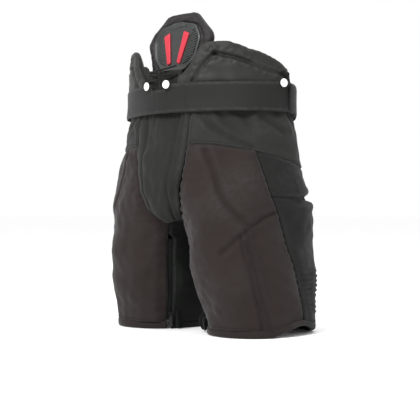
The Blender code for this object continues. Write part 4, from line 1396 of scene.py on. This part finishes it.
def make_zip_flap(label, side):
    """A black webbing tab at the foot of the zip. It stands a little proud of the leg."""
    u = np.linspace(0.0, 1.0, 24)
    angle = mix(-64.5, -56.5, u)
    z = np.full_like(u, FLAP_MIDDLE)
    offset = 0.0018 + FLAP_REACH * u**2
    centre, normal = mirrored_pair(side, skin(angle, z, offset), skin_normal(angle, z))
    tip = np.sqrt(np.clip(1.0 - np.clip((u - 0.75) / 0.25, 0.0, 1.0) ** 2, 0.2, 1.0))
    half = upright(FLAP_HALF * tip)
    strap(f"{label}_zip_flap", centre, normal, half, 0.0026, MATERIALS["strap"])


def stitch_rows():
    """Rows of topstitching as (angle, height) lines on the left half, beside the seams."""
    heights = np.linspace(HEM_HEIGHT + 0.002, 0.335, 60)
    thigh = [(float(thigh_seam(z)) - 1.6, float(z)) for z in heights]
    side_rows = [(BACK_SEAM_ANGLE + 2.4, float(z)) for z in np.linspace(HEM_HEIGHT + 0.002, 0.392, 60)]
    angles = np.linspace(12.0, 140.0, 60)
    yoke = [(float(a), float(yoke_seam(a)) + 0.0042) for a in angles]
    hem = [(float(a), HEM_HEIGHT + 0.0048) for a in np.linspace(-46.0, 226.0, 80)]
    gusset = [(float(front_seam(z)) + 1.9, float(z)) for z in np.linspace(0.205, 0.395, 40)]
    split = [(float(a), SIDE_SPLIT_Z - 0.0105) for a in np.linspace(86.0, 140.0, 24)]
    channels = [FRONT_CHANNEL, REAR_CHANNEL]
    rows = [thigh, side_rows, yoke, hem, gusset, split]
    for channel in channels:
        rows.append([(a + 1.3, z) for a, z in channel])
        rows.append([(a - 1.3, z) for a, z in channel])
    return rows


def make_stitches():
    """Every stitch is a short raised dash of thread lying just proud of the cloth."""
    long, gap, radius, lift = 0.0030, 0.0012, 0.00034, 0.00035
    start_lift, step = 0.004, 0.0006
    for label, side in SIDES:
        points, faces = [], []
        tree = surface_tree(label)
        for row in stitch_rows():
            line = on_skin(row, start_lift, step)
            run = np.linalg.norm(np.diff(line, axis=0, prepend=line[:1]), axis=1).cumsum()
            at = 0.0
            while at + long < run[-1]:
                ends = [Vector([np.interp(s, run, line[:, k]) for k in range(3)]) for s in (at, at + long)]
                add_stitch(points, faces, [e * Vector((side, 1, 1)) for e in ends], tree, radius, lift)
                at += long + gap
        made = make_object(f"{label}_topstitching", points, faces, [MATERIALS["thread"]])
        place_piece(made)


def surface_tree(label):
    """A search tree of one side's outer cloth faces."""
    points, faces = [], []
    for title, *_ in PANELS:
        mesh = bpy.data.objects[f"{label}_{title}_cloth"].data
        first = len(points)
        points += [v.co.copy() for v in mesh.vertices]
        faces += [[first + i for i in f.vertices] for f in mesh.polygons if f.material_index == 0]
    return BVHTree.FromPolygons(points, faces)


def add_stitch(points, faces, ends, tree, radius, lift):
    found = [tree.find_nearest(e, 0.012) for e in ends]
    if any(f[0] is None for f in found):
        return
    up = (found[0][1] + found[1][1]).normalized()
    spots = [f[0] + up * lift for f in found]
    run = (spots[1] - spots[0]).normalized()
    across = run.cross(up).normalized()
    first = len(points)
    middle = (spots[0] + spots[1]) / 2.0 + up * radius * 0.8
    for at, scale in ((spots[0], 0.45), (middle, 1.0), (spots[1], 0.45)):
        for turn in range(6):
            spin = math.pi * turn / 3.0
            points.append(at + (across * math.cos(spin) + up * math.sin(spin)) * radius * scale)
    for ring in range(2):
        for i in range(6):
            a, b = first + ring * 6 + i, first + ring * 6 + (i + 1) % 6
            faces.append((a, b, b + 6, a + 6))
    faces.append(tuple(first + i for i in range(6))[::-1])
    faces.append(tuple(first + 12 + i for i in range(6)))


# ---------------------------------------------------------------- camera, light and stage

AZIMUTH = math.radians(44.0)
CAMERA_HEIGHT, CAMERA_DISTANCE, LENS = 0.227, 2.10, 93.8
SIDE_STEP = -0.0027           # the garment stands a little left of the picture's middle


def make_camera():
    right = Vector((math.cos(AZIMUTH), math.sin(AZIMUTH), 0.0))
    back = Vector((math.sin(AZIMUTH), -math.cos(AZIMUTH), 0.0))
    data = bpy.data.cameras.new("camera")
    data.lens = LENS
    data.sensor_width = 36.0
    camera = bpy.data.objects.new("camera", data)
    camera.location = Vector((0.0, 0.0, CAMERA_HEIGHT)) - right * SIDE_STEP + back * CAMERA_DISTANCE
    camera.rotation_mode = "QUATERNION"
    camera.rotation_quaternion = (-back).to_track_quat("-Z", "Y")
    bpy.context.scene.collection.objects.link(camera)
    bpy.context.scene.camera = camera


FLOOR_HALF, FLOOR_Z = 30.0, -0.0005
LIGHT_TARGET = Vector((0.0, 0.0, 0.28))
# Each light: its name, place, size and power in watts.
LIGHTS = (
    ("key", (0.5, -2.3, 2.0), (1.1, 1.1), 85.0),
    ("fill", (2.6, -0.9, 1.1), (1.4, 1.8), 4.0),
    ("top", (0.2, 0.2, 2.6), (1.6, 1.6), 16.0),
    ("rim", (-0.4, 2.2, 1.6), (1.2, 1.2), 8.0),
)


def area_light(name, at, size, energy):
    data = bpy.data.lights.new(name, "AREA")
    data.shape = "RECTANGLE"
    data.size, data.size_y = size
    data.energy = energy
    light = bpy.data.objects.new(name, data)
    light.location = at
    light.rotation_mode = "QUATERNION"
    light.rotation_quaternion = (LIGHT_TARGET - Vector(at)).to_track_quat("-Z", "Y")
    bpy.context.scene.collection.objects.link(light)


def make_stage():
    """A pale seamless floor, soft overhead light and a white surround."""
    world = bpy.data.worlds.new("studio")
    world.use_nodes = True
    background = world.node_tree.nodes["Background"]
    background.inputs["Color"].default_value = (1.0, 1.0, 1.0, 1.0)
    background.inputs["Strength"].default_value = 1.0
    bpy.context.scene.world = world
    mesh = bpy.data.meshes.new("floor")
    corners = [(x * FLOOR_HALF, y * FLOOR_HALF, FLOOR_Z) for x, y in ((-1, -1), (1, -1), (1, 1), (-1, 1))]
    mesh.from_pydata(corners, [], [(0, 1, 2, 3)])
    floor = bpy.data.objects.new("floor", mesh)
    bpy.context.scene.collection.objects.link(floor)
    paint = Shader("floor_paper")
    place = paint.node("ShaderNodeTexCoord").outputs["Object"]
    fibre = paint.noise(place, 400.0)
    paint.set(Base_Color=paint.blend(fibre, (0.975, 0.975, 0.975, 1.0), (0.99, 0.99, 0.99, 1.0)))
    paint.set(Roughness=0.9, Normal=paint.bump(fibre, 0.05, 0.0005), Specular_IOR_Level=0.1)
    mesh.materials.append(paint.material)
    for light in LIGHTS:
        area_light(*light)
    bpy.context.scene.view_settings.view_transform = "Standard"


make_camera()
make_stage()
make_panels()
make_hems()
make_gusset()
make_crotch()
make_belt()
make_belt_tab()
make_loops()
make_buttons()
make_placket()
make_lace()
make_waist_pads()
make_spine_pad()
make_guards()
make_back_plates()
make_zips()
make_stitches()
